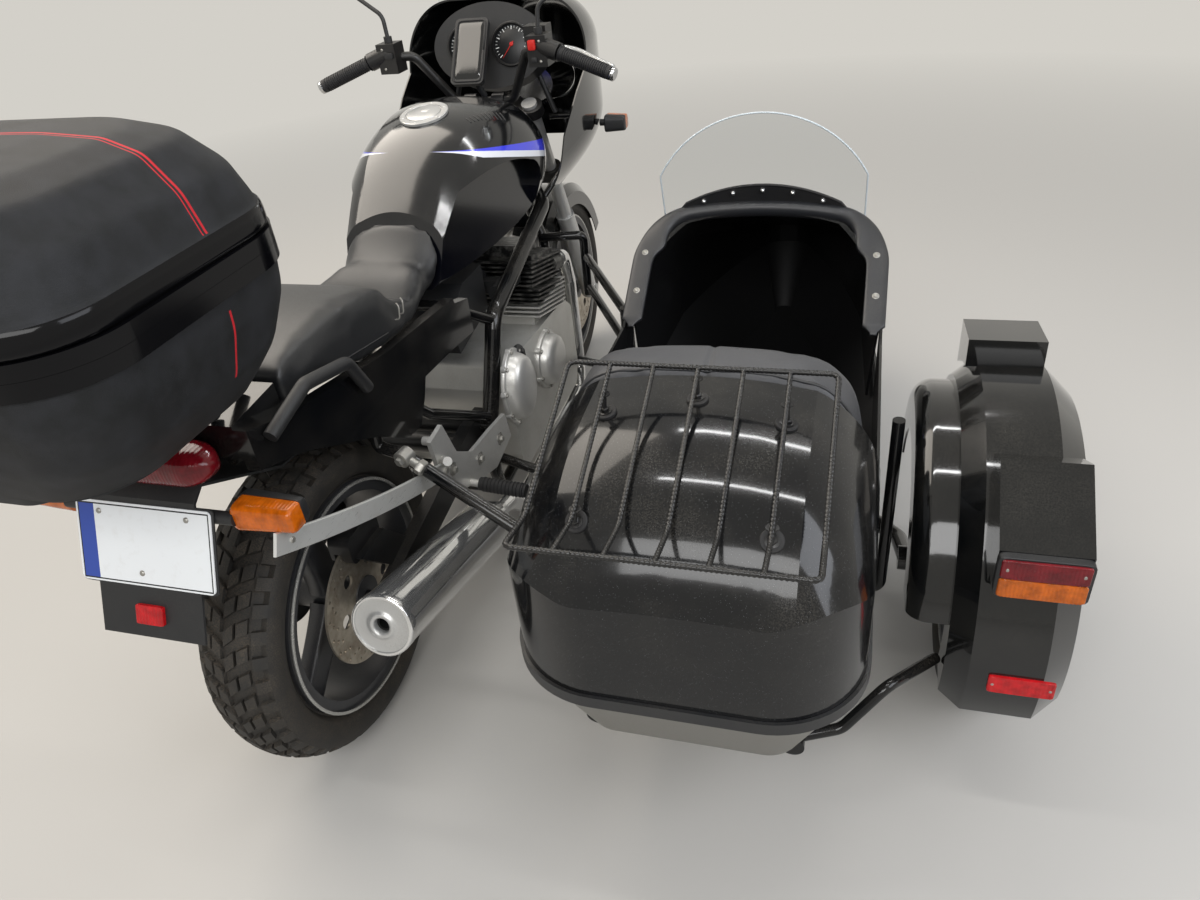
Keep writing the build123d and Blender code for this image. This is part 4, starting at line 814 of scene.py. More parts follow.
def makeMufflerEnds():
    # rolled rim, dished end plate with a raised collar round the outlet, and the sooty pipe inside:
    # profiles of (distance past the tail, radius) turned about the muffler's line
    shell, outlet = muffler["shell"], muffler["outlet"]
    rolled = [(-16, shell - 0.5), (-15, shell + 1.2), (-3, shell + 1.4), (3, shell + 0.6), (5, shell - 2.5),
              (4.2, shell - 5.5), (1.5, shell - 6.5)]
    dish = [(1.5, shell - 6.5), (0.8, shell - 14), (0.5, outlet + 16), (1.4, outlet + 11), (4.6, outlet + 8.5),
            (5.6, outlet + 5), (5.2, outlet + 2), (3, outlet - 0.2), (-8, outlet - 0.4)]
    bore = [(-8, outlet - 0.4), (-8.5, outlet - 3.5), (-12, outlet - 3.5), (-12.5, outlet - 0.6),
            (-55, outlet - 0.6), (-56, 0.0)]
    ends = ((rolled, "mufflerRim", "chromePlate"), (dish, "mufflerPlate", "satinSteel"),
            (bore, "mufflerBore", "soot"))
    for side, label in ((-1, "Left"), (1, "Right")):
        tail = np.array(muffler["tail"]) * (side, 1, 1)
        nose = np.array(muffler["nose"]) * (side, 1, 1)
        for profile, name, finish in ends:
            grid = turnedGrid(profile, tail, tail - nose, 64)
            addPiece(name + label, [grid], "chassis", finish, "chrome", sharp=50)


strap = {"face": 207.3, "thick": 4, "wide": 34, "points": [(178, 504), (-40, 590), (-306, 720)],
         "bolts": [(172, 507, 8, 6), (-274, 704, 5, 3)]}


def makeStrap():
    # flat bar on an arc seen from the side: a closed oblong section carried along it
    count = 40
    path = arcThrough(*strap["points"], count=count)
    along = unit(np.gradient(path, axis=0))
    square = np.stack([-along[:, 1], along[:, 0]], -1)
    half, ease = strap["wide"] / 2, 1.2
    near, far = strap["face"] - 0.5, strap["face"] + strap["thick"] + 0.8
    section = [(near, -half), (far - ease, -half), (far, ease - half), (far, half - ease), (far - ease, half),
               (near, half)]
    rings = np.stack([np.concatenate([np.full((count, 1), x), path + s * square], axis=1)
                      for x, s in section], 1)
    middle = rings.mean(axis=1, keepdims=True)
    caps = [np.repeat(middle[:1], 6, axis=1), rings, np.repeat(middle[-1:], 6, axis=1)]
    caps[0][:, :, 1:], caps[2][:, :, 1:] = middle[0, 0, 1:], middle[-1, 0, 1:]
    addPiece("strapBar", [np.concatenate(caps)], "chassis", "brushedAluminium", "alloy_bright", sharp=30)
    bolts = [fastener((far - 0.5, y, z), (1, 0, 0), radius, height) for y, z, radius, height in strap["bolts"]]
    addPiece("strapBolts", bolts, "chassis", "zincPlate", "alloy_bright", sharp=40)


makeMufflerEnds()
makeStrap()
print("exhaust ends and strap made")


rack = {
    "middle": 738, "half": 203, "wire": 4, "bend": 14, "pitch": 13, "rib": 0.55, "step": 1.5,
    "front": (66, 822), "kink": (-188, 716), "rear": (-268, 730),
    "feet": [(-135, 17), (135, 17), (0, 52), (-135, -166), (135, -166)],
}


def makeRack():
    # bent wire with two ribs wound round it; feet are rubber discs on the deck with washer, nut and stud
    x, half, wire = rack["middle"], rack["half"], rack["wire"]
    (frontY, frontZ), (kinkY, kinkZ), (rearY, rearZ) = rack["front"], rack["kink"], rack["rear"]
    ribs = (rack["pitch"], rack["rib"])
    wires = []
    for side in (-1, 1):
        corners = [(x, frontY, frontZ), (x + side * half, frontY, frontZ), (x + side * half, kinkY, kinkZ),
                   (x + side * half, rearY, rearZ), (x, rearY, rearZ)]
        path = roundedPath(corners, rack["bend"], rack["step"])
        wires.append(tubeGrid(path, wire, 10, (0.3, 0.5, 0.9), ribs))
    for share in (-2, -1, 0, 1, 2):
        wireX = x + share * half / 3
        corners = [(wireX, frontY, frontZ), (wireX, kinkY, kinkZ), (wireX, rearY, rearZ)]
        wires.append(tubeGrid(roundedPath(corners, 12, rack["step"]), wire - 0.4, 10, (1, 0.01, 0.02), ribs))
    addPiece("rackWires", wires, "chassis", "rackSteel", "black_plastic", "luggage_rack")
    discs, bolts = [], []
    slope = (frontZ - kinkZ) / (frontY - kinkY)
    for footX, footY in rack["feet"]:
        foot, normal = surfaceAt("tub_upper", (x + footX, footY, 900), (0, 0, -1))
        wireZ = kinkZ + (footY - kinkY) * slope if footY > kinkY else kinkZ
        discs.append(turnedGrid([(-1.5, 17), (3, 17), (4.2, 15.8), (4.2, 0)], foot, normal, 28))
        head = foot + normal * 4
        bolts.append(turnedGrid([(0, 10.5), (1.6, 10.5), (1.8, 9.8), (1.8, 0)], head, normal, 28))
        bolts.append(fastener(head + normal * 1.5, normal, 7.2, 6.5))
        stud = np.linspace(head + normal * 6, (x + footX, footY, wireZ), 4)
        bolts.append(tubeGrid(stud, 3.6, 12, (1, 0.2, 0.1)))
        bolts.append(turnedGrid([(-1.6, 0), (-1.6, 9), (-0.2, 9), (-0.2, 0)], (x + footX, footY, wireZ - wire),
                                (0, 0, 1), 20))
    addPiece("rackDiscs", discs, "chassis", "softRubber", "rubber", sharp=35)
    addPiece("rackBolts", bolts, "chassis", "blackSteel", "black_plastic", sharp=35)


makeRack()
print("luggage rack made")


cockpit = {
    "middle": 738, "half": 275, "footY": 623, "footZ": 600, "topY": 898, "topZ": 772,
    "roll": (19, 16), "band": (6.5, 23), "studs": [0.09, 0.19],
}


def cockpitPath(count):
    # the mouth's edge in its own plane: straight sides, quarter arcs and a crown; gives its points in space,
    # the same points in the plane, and the plane's upward direction
    rise = math.hypot(cockpit["topY"] - cockpit["footY"], cockpit["topZ"] - cockpit["footZ"])
    wide, tall = cockpit["half"] - 3, rise - 2
    shoulder, corner = (wide, tall * 0.55), (wide * 0.62, tall * 0.955)
    # the circle that leaves the side upright and ends at the corner
    gap = wide - corner[0]
    radius = (gap ** 2 + (corner[1] - shoulder[1]) ** 2) / (2 * gap)
    turn = np.linspace(0, math.acos(1 - gap / radius), 14)
    quarter = np.stack([wide - radius * (1 - np.cos(turn)), shoulder[1] + radius * np.sin(turn)], -1)
    crown = arcThrough(corner, (0, tall), (-corner[0], corner[1]), 24)
    line = np.concatenate([[(wide, 2)], quarter, crown[1:-1], quarter[::-1] * (-1, 1), [(-wide, 2)]])
    run = runAlong(line)
    flat = spaced(line, run, np.linspace(0, run[-1], count))
    up = np.array([0, cockpit["topY"] - cockpit["footY"], cockpit["topZ"] - cockpit["footZ"]]) / rise
    foot = np.array([cockpit["middle"], cockpit["footY"], cockpit["footZ"]])
    points = foot + flat[:, :1] * (1, 0, 0) + flat[:, 1:] * up
    return points, flat, up


def makeCockpitRim():
    # padded roll over the top of the mouth that flattens to a band down both sides
    count = 150
    points, flat, up = cockpitPath(count)
    along = unit(np.gradient(points, axis=0))
    ahead = np.cross((1, 0, 0), up)
    ahead = ahead if ahead[1] > 0 else -ahead
    outward = np.cross(along, ahead)
    outward *= np.sign(outward[:, :1] * flat[:, :1] + 1e-3 + (outward @ up)[:, None] * 50)
    height = flat[:, 1] / flat[:, 1].max()
    share = eased(np.clip((height - 0.66) / 0.32, 0, 1)[:, None])
    (rollAlong, rollOut), (bandAlong, bandOut) = cockpit["roll"], cockpit["band"]
    halfAlong = bandAlong + (rollAlong - bandAlong) * share
    corner = 9 * np.exp(-((height[:, None] - 0.78) / 0.13) ** 2)
    halfOut = bandOut + (rollOut - bandOut) * share + corner
    sides = 28
    alongShape, outShape = squared(fullTurn(sides)[None], 0.55 + 0.4 * share)
    ends = np.clip(np.minimum(np.arange(count), np.arange(count)[::-1]) / 3, 0.3, 1)[:, None]
    # the band lies flat over the wall's edge, the roll sits on it
    centre = points + ahead * 2 + outward * (-15 * (1 - share) + 3 * share - corner)
    rings = centre[:, None] + (halfAlong * alongShape * ends)[..., None] * ahead + (
        halfOut * outShape * ends)[..., None] * outward[:, None]
    caps = [np.repeat(centre[:1, None], sides, axis=1), rings, np.repeat(centre[-1:, None], sides, axis=1)]
    roll = joined("rimRoll", [patch(np.concatenate(caps), False, True)])
    finishPiece(roll, "chassis", "rimVinyl", "rubber", "cockpit_rim")
    studs = []
    press = [(-1, 7.5), (0.6, 7.5), (1.2, 6.6), (1.0, 5), (2.6, 4.2), (3.4, 2.4), (3.6, 0)]
    for share in cockpit["studs"]:
        for spot in (int(share * count), count - 1 - int(share * count)):
            face = centre[spot] - ahead * (halfAlong[spot] - 0.4)
            studs.append(turnedGrid(press, face, -ahead, 20))
            studs.append(fastener(centre[spot] + ahead * (halfAlong[spot] - 0.4), ahead, 6.5, 3, 20, dome=True))
    addPiece("rimStuds", studs, "chassis", "zincPlate", "alloy_bright", sharp=40)


screen = {"half": 224, "foot": 690, "planEdge": 905, "planMiddle": 938, "lean": 0.30 / 0.954,
          "nuts": (606, 672, 738, 804, 870), "endNuts": (545, 931)}


def screenPoint(x, z):
    # a point on the screen's sheet: its plan arc moved back with height by the lean
    sag = screen["planMiddle"] - screen["planEdge"]
    chord = screen["half"] + 4
    radius = (chord ** 2 + sag ** 2) / (2 * sag)
    offset = np.asarray(x, dtype=float) - cockpit["middle"]
    y = screen["planMiddle"] - radius + np.sqrt(radius ** 2 - offset ** 2)
    z = np.asarray(z, dtype=float) + 0 * offset
    return np.stack([offset + cockpit["middle"], y - screen["lean"] * (z - screen["foot"]), z], -1)


def makeScreenEdges():
    # pale tube along the top outline as a painted highlight on the sheet's edge, the dark lip behind the foot
    # and the dome nuts that hold the sheet
    middle, half, foot = cockpit["middle"], screen["half"], screen["foot"]
    top = arcThrough((half, 170), (0, 305), (-half, 170), 60)
    outline = np.concatenate([[(half, 12)], top, [(-half, 12)]])
    run = runAlong(outline)
    x, z = spaced(outline, run, np.linspace(0, run[-1], 110)).T
    edge = tubeGrid(screenPoint(middle + x * 0.997, foot + z * 0.997), 1.9, 8, (0, 1, 0.1))
    addPiece("screenEdgeHighlight", [edge], "chassis", "paintedEdgeHighlight", "clear")
    # lip: follows the cowl under the sheet's rear face
    x = np.linspace(middle - half + 14, middle + half - 14, 44)
    floor = np.array([surfaceAt("tub_upper", (v, float(screenPoint(v, 740)[1]) - 16, 1100), (0, 0, -1))[0][2]
                      for v in x])
    low = screenPoint(x, floor - 4) - (0, 8.5, 0)
    arch = 22 + 34 * (1 - ((x - middle) / half) ** 2)
    high = screenPoint(x, floor + arch) - (0, 6.5, 0)
    bead = screenPoint(x, floor + arch + 3) - (0, 5.0, 0)
    thick = np.array((0, 1.5, 0))
    lip = np.stack([low - thick, high - thick, high + thick, low + thick], 1)
    bead = tubeGrid(bead, 3.2, 10, (0, 1, 0.1))
    addPiece("screenLip", [lip, bead], "chassis", "softRubber", "rubber", sharp=40)
    nuts = []
    for nutX in (*screen["nuts"], *screen["endNuts"]):
        level = float(np.interp(nutX, x, floor + arch)) - 9
        spot = screenPoint(nutX, level) - (0, 9.5, 0)
        nuts.append(turnedGrid([(-6, 6.5), (0.8, 6.5), (1.2, 5.8), (1.2, 0)], spot, (0, -0.95, -0.3), 20))
        nuts.append(fastener(spot, (0, -0.95, -0.3), 5.4, 6.5, 14, dome=True))
    addPiece("screenNuts", nuts, "chassis", "brightSteel", "alloy_bright", sharp=40)


makeCockpitRim()
makeScreenEdges()
print("cockpit rim and screen made")


covers = {
    "face": 190.3,
    # oil filler: distance off the face, y, z, and the way it points
    "filler": (2, 640, 512), "fillerAxis": (0.9, 0.1, 0.42),
    # middle (y, z), half sizes, height and bolts of each cover
    "clutch": {"middle": (592, 450), "half": (70, 96), "height": 44, "bolts": 9},
    "crank": {"middle": (820, 400), "half": (76, 76), "height": 40, "bolts": 6},
}


def coverGrid(side, cover):
    # an ellipse scaled along a profile of (height, share of the half sizes): flange, wall, shoulder, dome
    height = cover["height"]
    profile = [(-0.5, 1.0), (7, 1.0), (8.5, 0.985), (9, 0.93), (10, 0.895), (height * 0.55, 0.86),
               (height * 0.8, 0.8), (height * 0.94, 0.68), (height, 0.5), (height + 1.2, 0.28),
               (height + 1.6, 0.0)]
    out, share = np.array(profile).T
    turn = fullTurn(72)
    y = cover["middle"][0] + share[:, None] * cover["half"][0] * np.cos(turn)
    z = cover["middle"][1] + share[:, None] * cover["half"][1] * np.sin(turn)
    x = np.broadcast_to(side * (covers["face"] + out[:, None]), y.shape)
    return np.stack([x, y, z], -1)


def makeEngineCovers():
    # two domed covers on each side with their bolt bosses, and the oil filler
    shells, bolts = [], []
    for side in (-1, 1):
        for cover in (covers["clutch"], covers["crank"]):
            shells.append(coverGrid(side, cover))
            for index in range(cover["bolts"]):
                angle = 2 * math.pi * (index + 0.3) / cover["bolts"]
                ray = 0.955 * np.array(cover["half"]) * (math.cos(angle), math.sin(angle))
                spot = (side * (covers["face"] + 7), *(cover["middle"] + ray))
                shells.append(turnedGrid([(-8, 8.5), (2.5, 8.5), (3.5, 7.5), (3.5, 0)], spot, (side, 0, 0), 16))
                bolts.append(fastener(np.array(spot) + (side * 3, 0, 0), (side, 0, 0), 5.2, 5))
    addPiece("coverShells", shells, "chassis", "coverAluminium", "engine_silver", "engine_covers", sharp=38)
    addPiece("coverBolts", bolts, "chassis", "zincPlate", "alloy_bright", sharp=35)
    # oil filler: black cap with a round grip, above the clutch cover
    foot = np.array(covers["filler"]) + (covers["face"], 0, 0)
    cap = turnedGrid([(-4, 17), (3, 17), (5, 19), (12, 19), (14, 17), (15, 12), (15, 0)],
                     foot, covers["fillerAxis"], 26)
    bar = fastener(foot + (13, 1, 6), covers["fillerAxis"], 7, 6, 12)
    addPiece("oilFiller", [cap, bar], "chassis", "mattePlastic", "black_plastic", sharp=38)


makeEngineCovers()
print("engine covers made")


filler = {"spot": (-8, 800), "radius": 56}


def makeFillerCap():
    # flat aircraft-style cap: outer ring with six screws, groove, lid and key flap
    foot, normal = surfaceAt("fuel_tank", (*filler["spot"], 1300), (0, 0, -1))
    r = filler["radius"]
    ring = [(-3, r), (2.2, r), (3.4, r - 1.6), (3.4, r - 13), (1.2, r - 14), (1.2, r - 16), (3.8, r - 17),
            (4.6, r - 19), (4.8, 12), (4.8, 0)]
    flap = fastener(foot + normal * 4.5 + (0, 12, 0), normal, 12, 3, 20)
    screws = []
    across = unit(np.cross(normal, (1, 0, 0)))
    beside = np.cross(across, normal)
    for index in range(6):
        angle = math.pi * index / 3
        spot = foot + normal * 3.2 + (r - 7) * (math.cos(angle) * across + math.sin(angle) * beside)
        screws.append(fastener(spot, normal, 3.4, 1.6, 14, dome=True))
    grids = [turnedGrid(ring, foot, normal, 56), flap, *screws]
    addPiece("fillerCap", grids, "chassis", "satinSteel", "alloy_bright", sharp=35)


makeFillerCap()
print("tank fittings made")


pads = {
    # voxel size, shrink and cap in metres; ease and settle are smoothing steps; extra easing starts at nose
    "seat": {
        "name": "seatPad", "finish": "seatVinyl", "slot": "bike_seat", "voxel": 0.006, "ease": 12, "settle": 14,
        "nose": 330, "bending": 6.0, "shrink": 0.0015, "cap": 0.0035, "fill": 0.75,
    },
    "sidecar_seat": {
        "name": "sidecarPad", "finish": "greyVinyl", "slot": "car_seat", "voxel": 0.008, "ease": 26,
        "settle": 5, "bending": 0.6, "shrink": 0.002, "cap": 0.011, "fill": 0.6,
    },
}


def appliedModifiers(piece):
    # the piece's mesh as its modifiers leave it
    graph = bpy.context.evaluated_depsgraph_get()
    mesh = bpy.data.meshes.new_from_object(piece.evaluated_get(graph))
    piece.modifiers.clear()
    old, piece.data = piece.data, mesh
    bpy.data.meshes.remove(old)


def vertexPlaces(mesh):
    points = np.empty(len(mesh.vertices) * 3, dtype=np.float32)
    mesh.vertices.foreach_get("co", points)
    return points.reshape(-1, 3).astype(float)


def setPlaces(piece, points):
    piece.data.vertices.foreach_set("co", points.astype(np.float32).ravel())
    piece.data.update()


def smoothed(piece, name, steps):
    smooth = piece.modifiers.new(name, "SMOOTH")
    smooth.factor, smooth.iterations = 0.5, steps
    return smooth


def padFrom(nodeName, form):
    # the cushion's solid merged, remeshed and eased, a little smaller, then blown up as cloth with its
    # travel capped and its underside held
    mesh = nodes[nodeName].data.copy()
    cleanMesh(mesh, 1e-5)
    piece = bpy.data.objects.new(form["name"], mesh)
    bpy.context.scene.collection.objects.link(piece)
    remesh = piece.modifiers.new("remesh", "REMESH")
    remesh.mode = "VOXEL"
    remesh.voxel_size = form["voxel"]
    smoothed(piece, "ease", form["ease"])
    appliedModifiers(piece)
    if "nose" in form:
        places = (vertexPlaces(piece.data) - bikeOrigin) * 1000
        weight = np.clip((places[:, 1] - form["nose"]) / 50, 0, 1)
        group = piece.vertex_groups.new(name="nose")
        for index in np.nonzero(weight)[0]:
            group.add([int(index)], float(weight[index]), "REPLACE")
        smoothed(piece, "noseEase", 70).vertex_group = "nose"
        appliedModifiers(piece)
    normals = np.array([v.normal for v in piece.data.vertices])
    rest = vertexPlaces(piece.data) - form["shrink"] * normals
    setPlaces(piece, rest)
    held = piece.vertex_groups.new(name="underside")
    held.add([int(k) for k in np.nonzero(normals[:, 2] < -0.75)[0]], 1.0, "REPLACE")
    cloth = piece.modifiers.new("cloth", "CLOTH")
    settings = cloth.settings
    settings.quality = 4
    settings.mass = 0.3
    settings.tension_stiffness = settings.compression_stiffness = 12
    settings.shear_stiffness = 6
    settings.bending_stiffness = form["bending"]
    settings.use_pressure = True
    settings.uniform_pressure_force = 4
    settings.vertex_group_mass = "underside"
    settings.effector_weights.gravity = 0
    cloth.collision_settings.use_collision = False
    cloth.point_cache.frame_start, cloth.point_cache.frame_end = 1, 20
    for step in range(1, 21):
        bpy.context.scene.frame_set(step)
    appliedModifiers(piece)
    bpy.context.scene.frame_set(1)
    travel = vertexPlaces(piece.data) - rest
    length = np.linalg.norm(travel, axis=1)[:, None]
    setPlaces(piece, rest + travel * np.minimum(1, form["cap"] / np.maximum(length, 1e-9)))
    smoothed(piece, "settle", form["settle"])
    finer = piece.modifiers.new("finer", "SUBSURF")
    finer.levels = finer.render_levels = 1
    appliedModifiers(piece)
    piece.data.shade_smooth()
    return piece


def pinch(piece, distance, depth, width):
    # pulls the surface in along a seam: depth x exp(-(distance / width)^2), distance in mm at each vertex
    points = vertexPlaces(piece.data)
    normals = np.array([v.normal for v in piece.data.vertices])
    gap = distance((points - bikeOrigin) * 1000)
    setPlaces(piece, points - (depth / 1000 * np.exp(-(gap / width) ** 2))[:, None] * normals)


seatTrim = {"seamY": 268, "seamBow": 46, "seamHalf": 130, "weltY": (-96, 190), "hooks": (228, 252)}


def seatSeam(x):
    # how far forward the step seam lies at a distance from the middle
    return seatTrim["seamY"] + seatTrim["seamBow"] * np.abs(x / seatTrim["seamHalf"]) ** 2


def makeSeatPad():
    form = pads["seat"]
    piece = padFrom("seat", form)
    # the step seam between the two places runs across
    half = seatTrim["seamHalf"] + 2
    pinch(piece, lambda p: np.where(np.abs(p[:, 0]) < half, p[:, 1] - seatSeam(p[:, 0]), 99.0), 2.2, 5)
    finishPiece(piece, "chassis", form["finish"], form["slot"], "seat")
    treeOf("seatPad", piece.data)
    # a welt down each side, and one along the step seam
    welts = []
    rearY, frontY = seatTrim["weltY"]
    for edge in (-1, 1):
        line = [surfaceAt("seatPad", (edge * 300, float(v), 838 - 0.16 * (v - rearY)), (-edge, 0, 0))
                for v in np.linspace(rearY, frontY, 60)]
        welts.append(tubeGrid(np.array([hit[0] - hit[1] * 0.6 for hit in line]), 2.0, 8))
    line = [surfaceAt("seatPad", (float(v), float(seatSeam(v)), 1000), (0, 0, -1))
            for v in np.linspace(-128, 128, 50)]
    welts.append(tubeGrid(np.array([hit[0] - hit[1] * 0.4 for hit in line]), 1.8, 8, (0, 1, 0.1)))
    addPiece("seatWelts", welts, "chassis", "seatVinyl", "bike_seat")
    # two wire hooks under the step, on the right side
    hooks = []
    for spot in seatTrim["hooks"]:
        start, normal = surfaceAt("seatPad", (300, spot, 800), (-1, 0, 0))
        corners = [start - normal * 3, start + normal * 9, start + normal * 9 + (0, 6, 22),
                   start + normal * 4 + (0, 9, 28)]
        hooks.append(tubeGrid(roundedPath(corners, 5, 1.5), 1.6, 8))
    addPiece("seatHooks", hooks, "chassis", "zincPlate", "chrome")


sidecarTrim = {"middle": 738, "back": (400, 495), "channel": 130, "rollCentre": (738, 136, 560),
               "rollReach": 420}


def makeSidecarPad():
    form = pads["sidecar_seat"]
    piece = padFrom("sidecar_seat", form)
    # the roll stands a little proud of the deck
    points = vertexPlaces(piece.data)
    points[:, 2] += 0.013 * eased(np.clip((points[:, 2] - 0.6) / 0.15, 0, 1))
    setPlaces(piece, points)
    # one seam over the roll's middle, and two channels in the cushion
    middle, (low, high) = sidecarTrim["middle"], sidecarTrim["back"]
    pinch(piece, lambda p: np.where(p[:, 2] > 500, p[:, 0] - middle, 99.0), 3.0, 5)
    pinch(piece, lambda p: np.where((p[:, 2] < high) & (p[:, 2] > low),
                                    np.abs(np.abs(p[:, 0] - middle) - sidecarTrim["channel"]), 99.0), 5.0, 9)
    finishPiece(piece, "chassis", form["finish"], form["slot"], "sidecar_seat")
    treeOf("sidecarPad", piece.data)
    # piping along the roll's rear edge, just above the deck
    path = []
    for angle in np.linspace(math.radians(200), math.radians(-20), 90):
        reach = np.array([math.cos(angle), 0, math.sin(angle)])
        spot = np.array(sidecarTrim["rollCentre"]) + sidecarTrim["rollReach"] * reach
        hit, normal = surfaceAt("sidecarPad", spot, -reach)
        path.append(hit - normal * 0.8)
    addPiece("rollPiping", [tubeGrid(np.array(path), 3.2, 10, (0, 1, 0))], "chassis", "rimVinyl", "car_seat")


makeSeatPad()
makeSidecarPad()
print("seats padded")


def lensForm(centre, right, up, half, depth, crown=1.0, pitch=0.0, rib=0.0, corner=8, rings=22, around=144):
    # rings of a superellipse from the middle of the face out to its edge, then back down the wall to a
    # closed foot; ribs are a cosine along the right direction
    centre = np.asarray(centre, dtype=float)
    right, up = unit(right), unit(up)
    outward = np.cross(right, up)
    u, v = squared(fullTurn(around), 2 / corner)
    share = np.concatenate([np.linspace(0, 0.975, rings), [1.0, 1.0, 0.0]])
    level = np.concatenate([depth + crown * (1 - np.linspace(0, 1, rings) ** 2), [depth - 1.0, 0, 0]])
    x, z = half[0] * share[:, None] * u, half[1] * share[:, None] * v
    height = level[:, None] + 0 * x
    if pitch:
        height[:rings] += rib * np.cos(2 * math.pi * x[:rings] / pitch)
    return centre + x[..., None] * right + z[..., None] * up + height[..., None] * outward


fenderLamp = {
    # centres and half sizes
    "frame": ((1253, 30, 516), (66, 39)),
    "red": ((1253, 25, 534), (61, 17.5)), "amber": ((1253, 25, 498), (61, 17.5)),
    "screws": (1253, 12.5, 534), "screwOff": 52, "rivetOff": 43,
    "behindReflector": (1257, -200, 294), "reflector": (50, 18),
}


def makeFenderLamp():
    # red over amber lens in a dark frame with two screws, and the reflector under them
    right, up = (1, 0, 0), (0, 0, 1)
    centre, half = fenderLamp["frame"]
    addPiece("fenderLampFrame", [lensForm(centre, right, up, half, 14, 0.0, corner=12, rings=4)], "chassis",
             "mattePlastic", "black_plastic", "fender_lenses", sharp=35)
    for label, finish, slotName in (("red", "redLens", "lens_red"), ("amber", "amberLens", "lens_amber")):
        centre, half = fenderLamp[label]
        grid = lensForm(centre, right, up, half, 13, 1.2, 5.0, 0.45, 14, 26, 200)
        addPiece(label + "FenderLens", [grid], "chassis", finish, slotName, sharp=60)
    middle, off = np.array(fenderLamp["screws"]), fenderLamp["screwOff"]
    screws = [fastener(middle + (side * off, 0, 0), (0, -1, 0), 3.4, 1.6, 14, dome=True) for side in (-1, 1)]
    addPiece("fenderLampScrews", screws, "chassis", "zincPlate", "alloy_bright", sharp=40)
    spot = surfaceAt("wheel_fender", fenderLamp["behindReflector"], (0, 1, 0))[0]
    plate = lensForm(spot, right, up, fenderLamp["reflector"], 5, 0.2, 3.2, 0.2, 16, 18, 160)
    addPiece("fenderReflector", [plate], "chassis", "reflectorRed", "lens_red", sharp=60)
    off = fenderLamp["rivetOff"]
    rivets = [fastener(spot + (side * off, -4.6, 0), (0, -1, 0), 2.6, 1.4, 12, dome=True) for side in (-1, 1)]
    addPiece("reflectorRivets", rivets, "chassis", "zincPlate", "alloy_bright", sharp=40)


blinkers = {
    # inner and outer x, centre y and z, half sizes at root and tip, which way the lens faces,
    # and the stem's inner and outer x, y, z, radius and rings
    "rear": {"reach": (140, 235), "centre": (-268, 746), "root": (28, 23), "tip": (23, 20), "facing": -1,
             "stem": (90.3, 146, -292, 748, 10, 6)},
    "front": {"reach": (262, 318), "centre": (1330, 862), "root": (29, 22), "tip": (24, 19), "facing": 1,
              "stem": (244.1, 266, 1330, 862, 9, 4)},
}


def makeBlinkers():
    # superellipse sections carried outwards and closed at both ends; the lens takes the part on its side of
    # a flat joint, the housing the rest
    u, v = squared(fullTurn(72), 0.5)
    lenses, housings = [], []
    for form in blinkers.values():
        share = np.array([0, 0, 0.02, *np.linspace(0.06, 0.94, 40), 0.98, 1, 1])[:, None]
        swell = np.array([0, 0.86, 0.96, *np.ones(40), 0.96, 0.86, 0])[:, None]
        halfY = (form["root"][0] + share * (form["tip"][0] - form["root"][0])) * swell
        halfZ = (form["root"][1] + share * (form["tip"][1] - form["root"][1])) * swell
        y, z = halfY * u, halfZ * v
        x = form["reach"][0] + share * (form["reach"][1] - form["reach"][0]) + 0 * y
        facing = form["facing"]
        ribs = 0.35 * np.cos(2 * math.pi * x / 4.5) * (np.abs(y) > 8)
        joint = 6 * -facing
        for side in (-1, 1):
            lensY = np.maximum(y, joint) if facing > 0 else np.minimum(y, joint)
            backY = np.minimum(y, joint) if facing > 0 else np.maximum(y, joint)
            lenses.append(np.stack([side * x, form["centre"][0] + lensY + facing * ribs * swell,
                                    form["centre"][1] + z * 0.985], -1))
            housings.append(np.stack([side * x, form["centre"][0] + backY * 1.03,
                                      form["centre"][1] + z * 1.04], -1))
    for side in (-1, 1):
        for form in blinkers.values():
            inner, outer, y, z, radius, rings = form["stem"]
            housings.append(tubeGrid(np.linspace((side * inner, y, z), (side * outer, y, z), rings), radius, 20,
                                     (0, 1, 0.2)))
    addPiece("blinkerLenses", lenses, "chassis", "amberLens", "lens_amber", "indicators", sharp=50)
    addPiece("blinkerHousings", housings, "chassis", "mattePlastic", "black_plastic", sharp=50)


tailLamp = {"centre": (-266, 819), "half": (33.5, 27), "reach": 123, "rounding": 46, "exponent": 0.62,
            "reflector": (0, -365.6, 610.6)}
plateForm = {"middle": (0, -325.5, 707.5), "up": (0, 83, 194), "screws": ((-76, 46), (76, 46), (-8, -42)),
             "carrier": (120, 64.5)}


def makeTailLamp():
    # superellipse sections across the tail, drawn in to a point at both ends like a quarter circle;
    # ribs are a fine cosine along the lamp
    form = tailLamp
    x = np.concatenate([[-form["reach"]], form["reach"] * np.sin(np.linspace(-1.5, 1.5, 150)), [form["reach"]]])
    past = np.clip((np.abs(x) - form["reach"] + form["rounding"]) / form["rounding"], 0, 1)
    swell = np.sqrt(1 - past ** 2)
    u, v = squared(fullTurn(64), form["exponent"])
    rib = 0.35 * np.cos(2 * math.pi * x / 4.5) * swell
    y = form["centre"][0] + (form["half"][0] * swell + rib)[:, None] * u
    z = form["centre"][1] + (form["half"][1] * swell)[:, None] * v
    lens = np.stack([np.broadcast_to(x[:, None], y.shape), y, z], -1)
    reflector = lensForm(form["reflector"], (1, 0, 0), plateForm["up"], (24, 15), 6, 0.2, 3.2, 0.2, 12, 16, 120)
    addPiece("tailLens", [lens], "chassis", "redLens", "lens_red", "tail_lamp", sharp=60)
    addPiece("tailReflector", [reflector], "chassis", "reflectorRed", "lens_red", sharp=60)


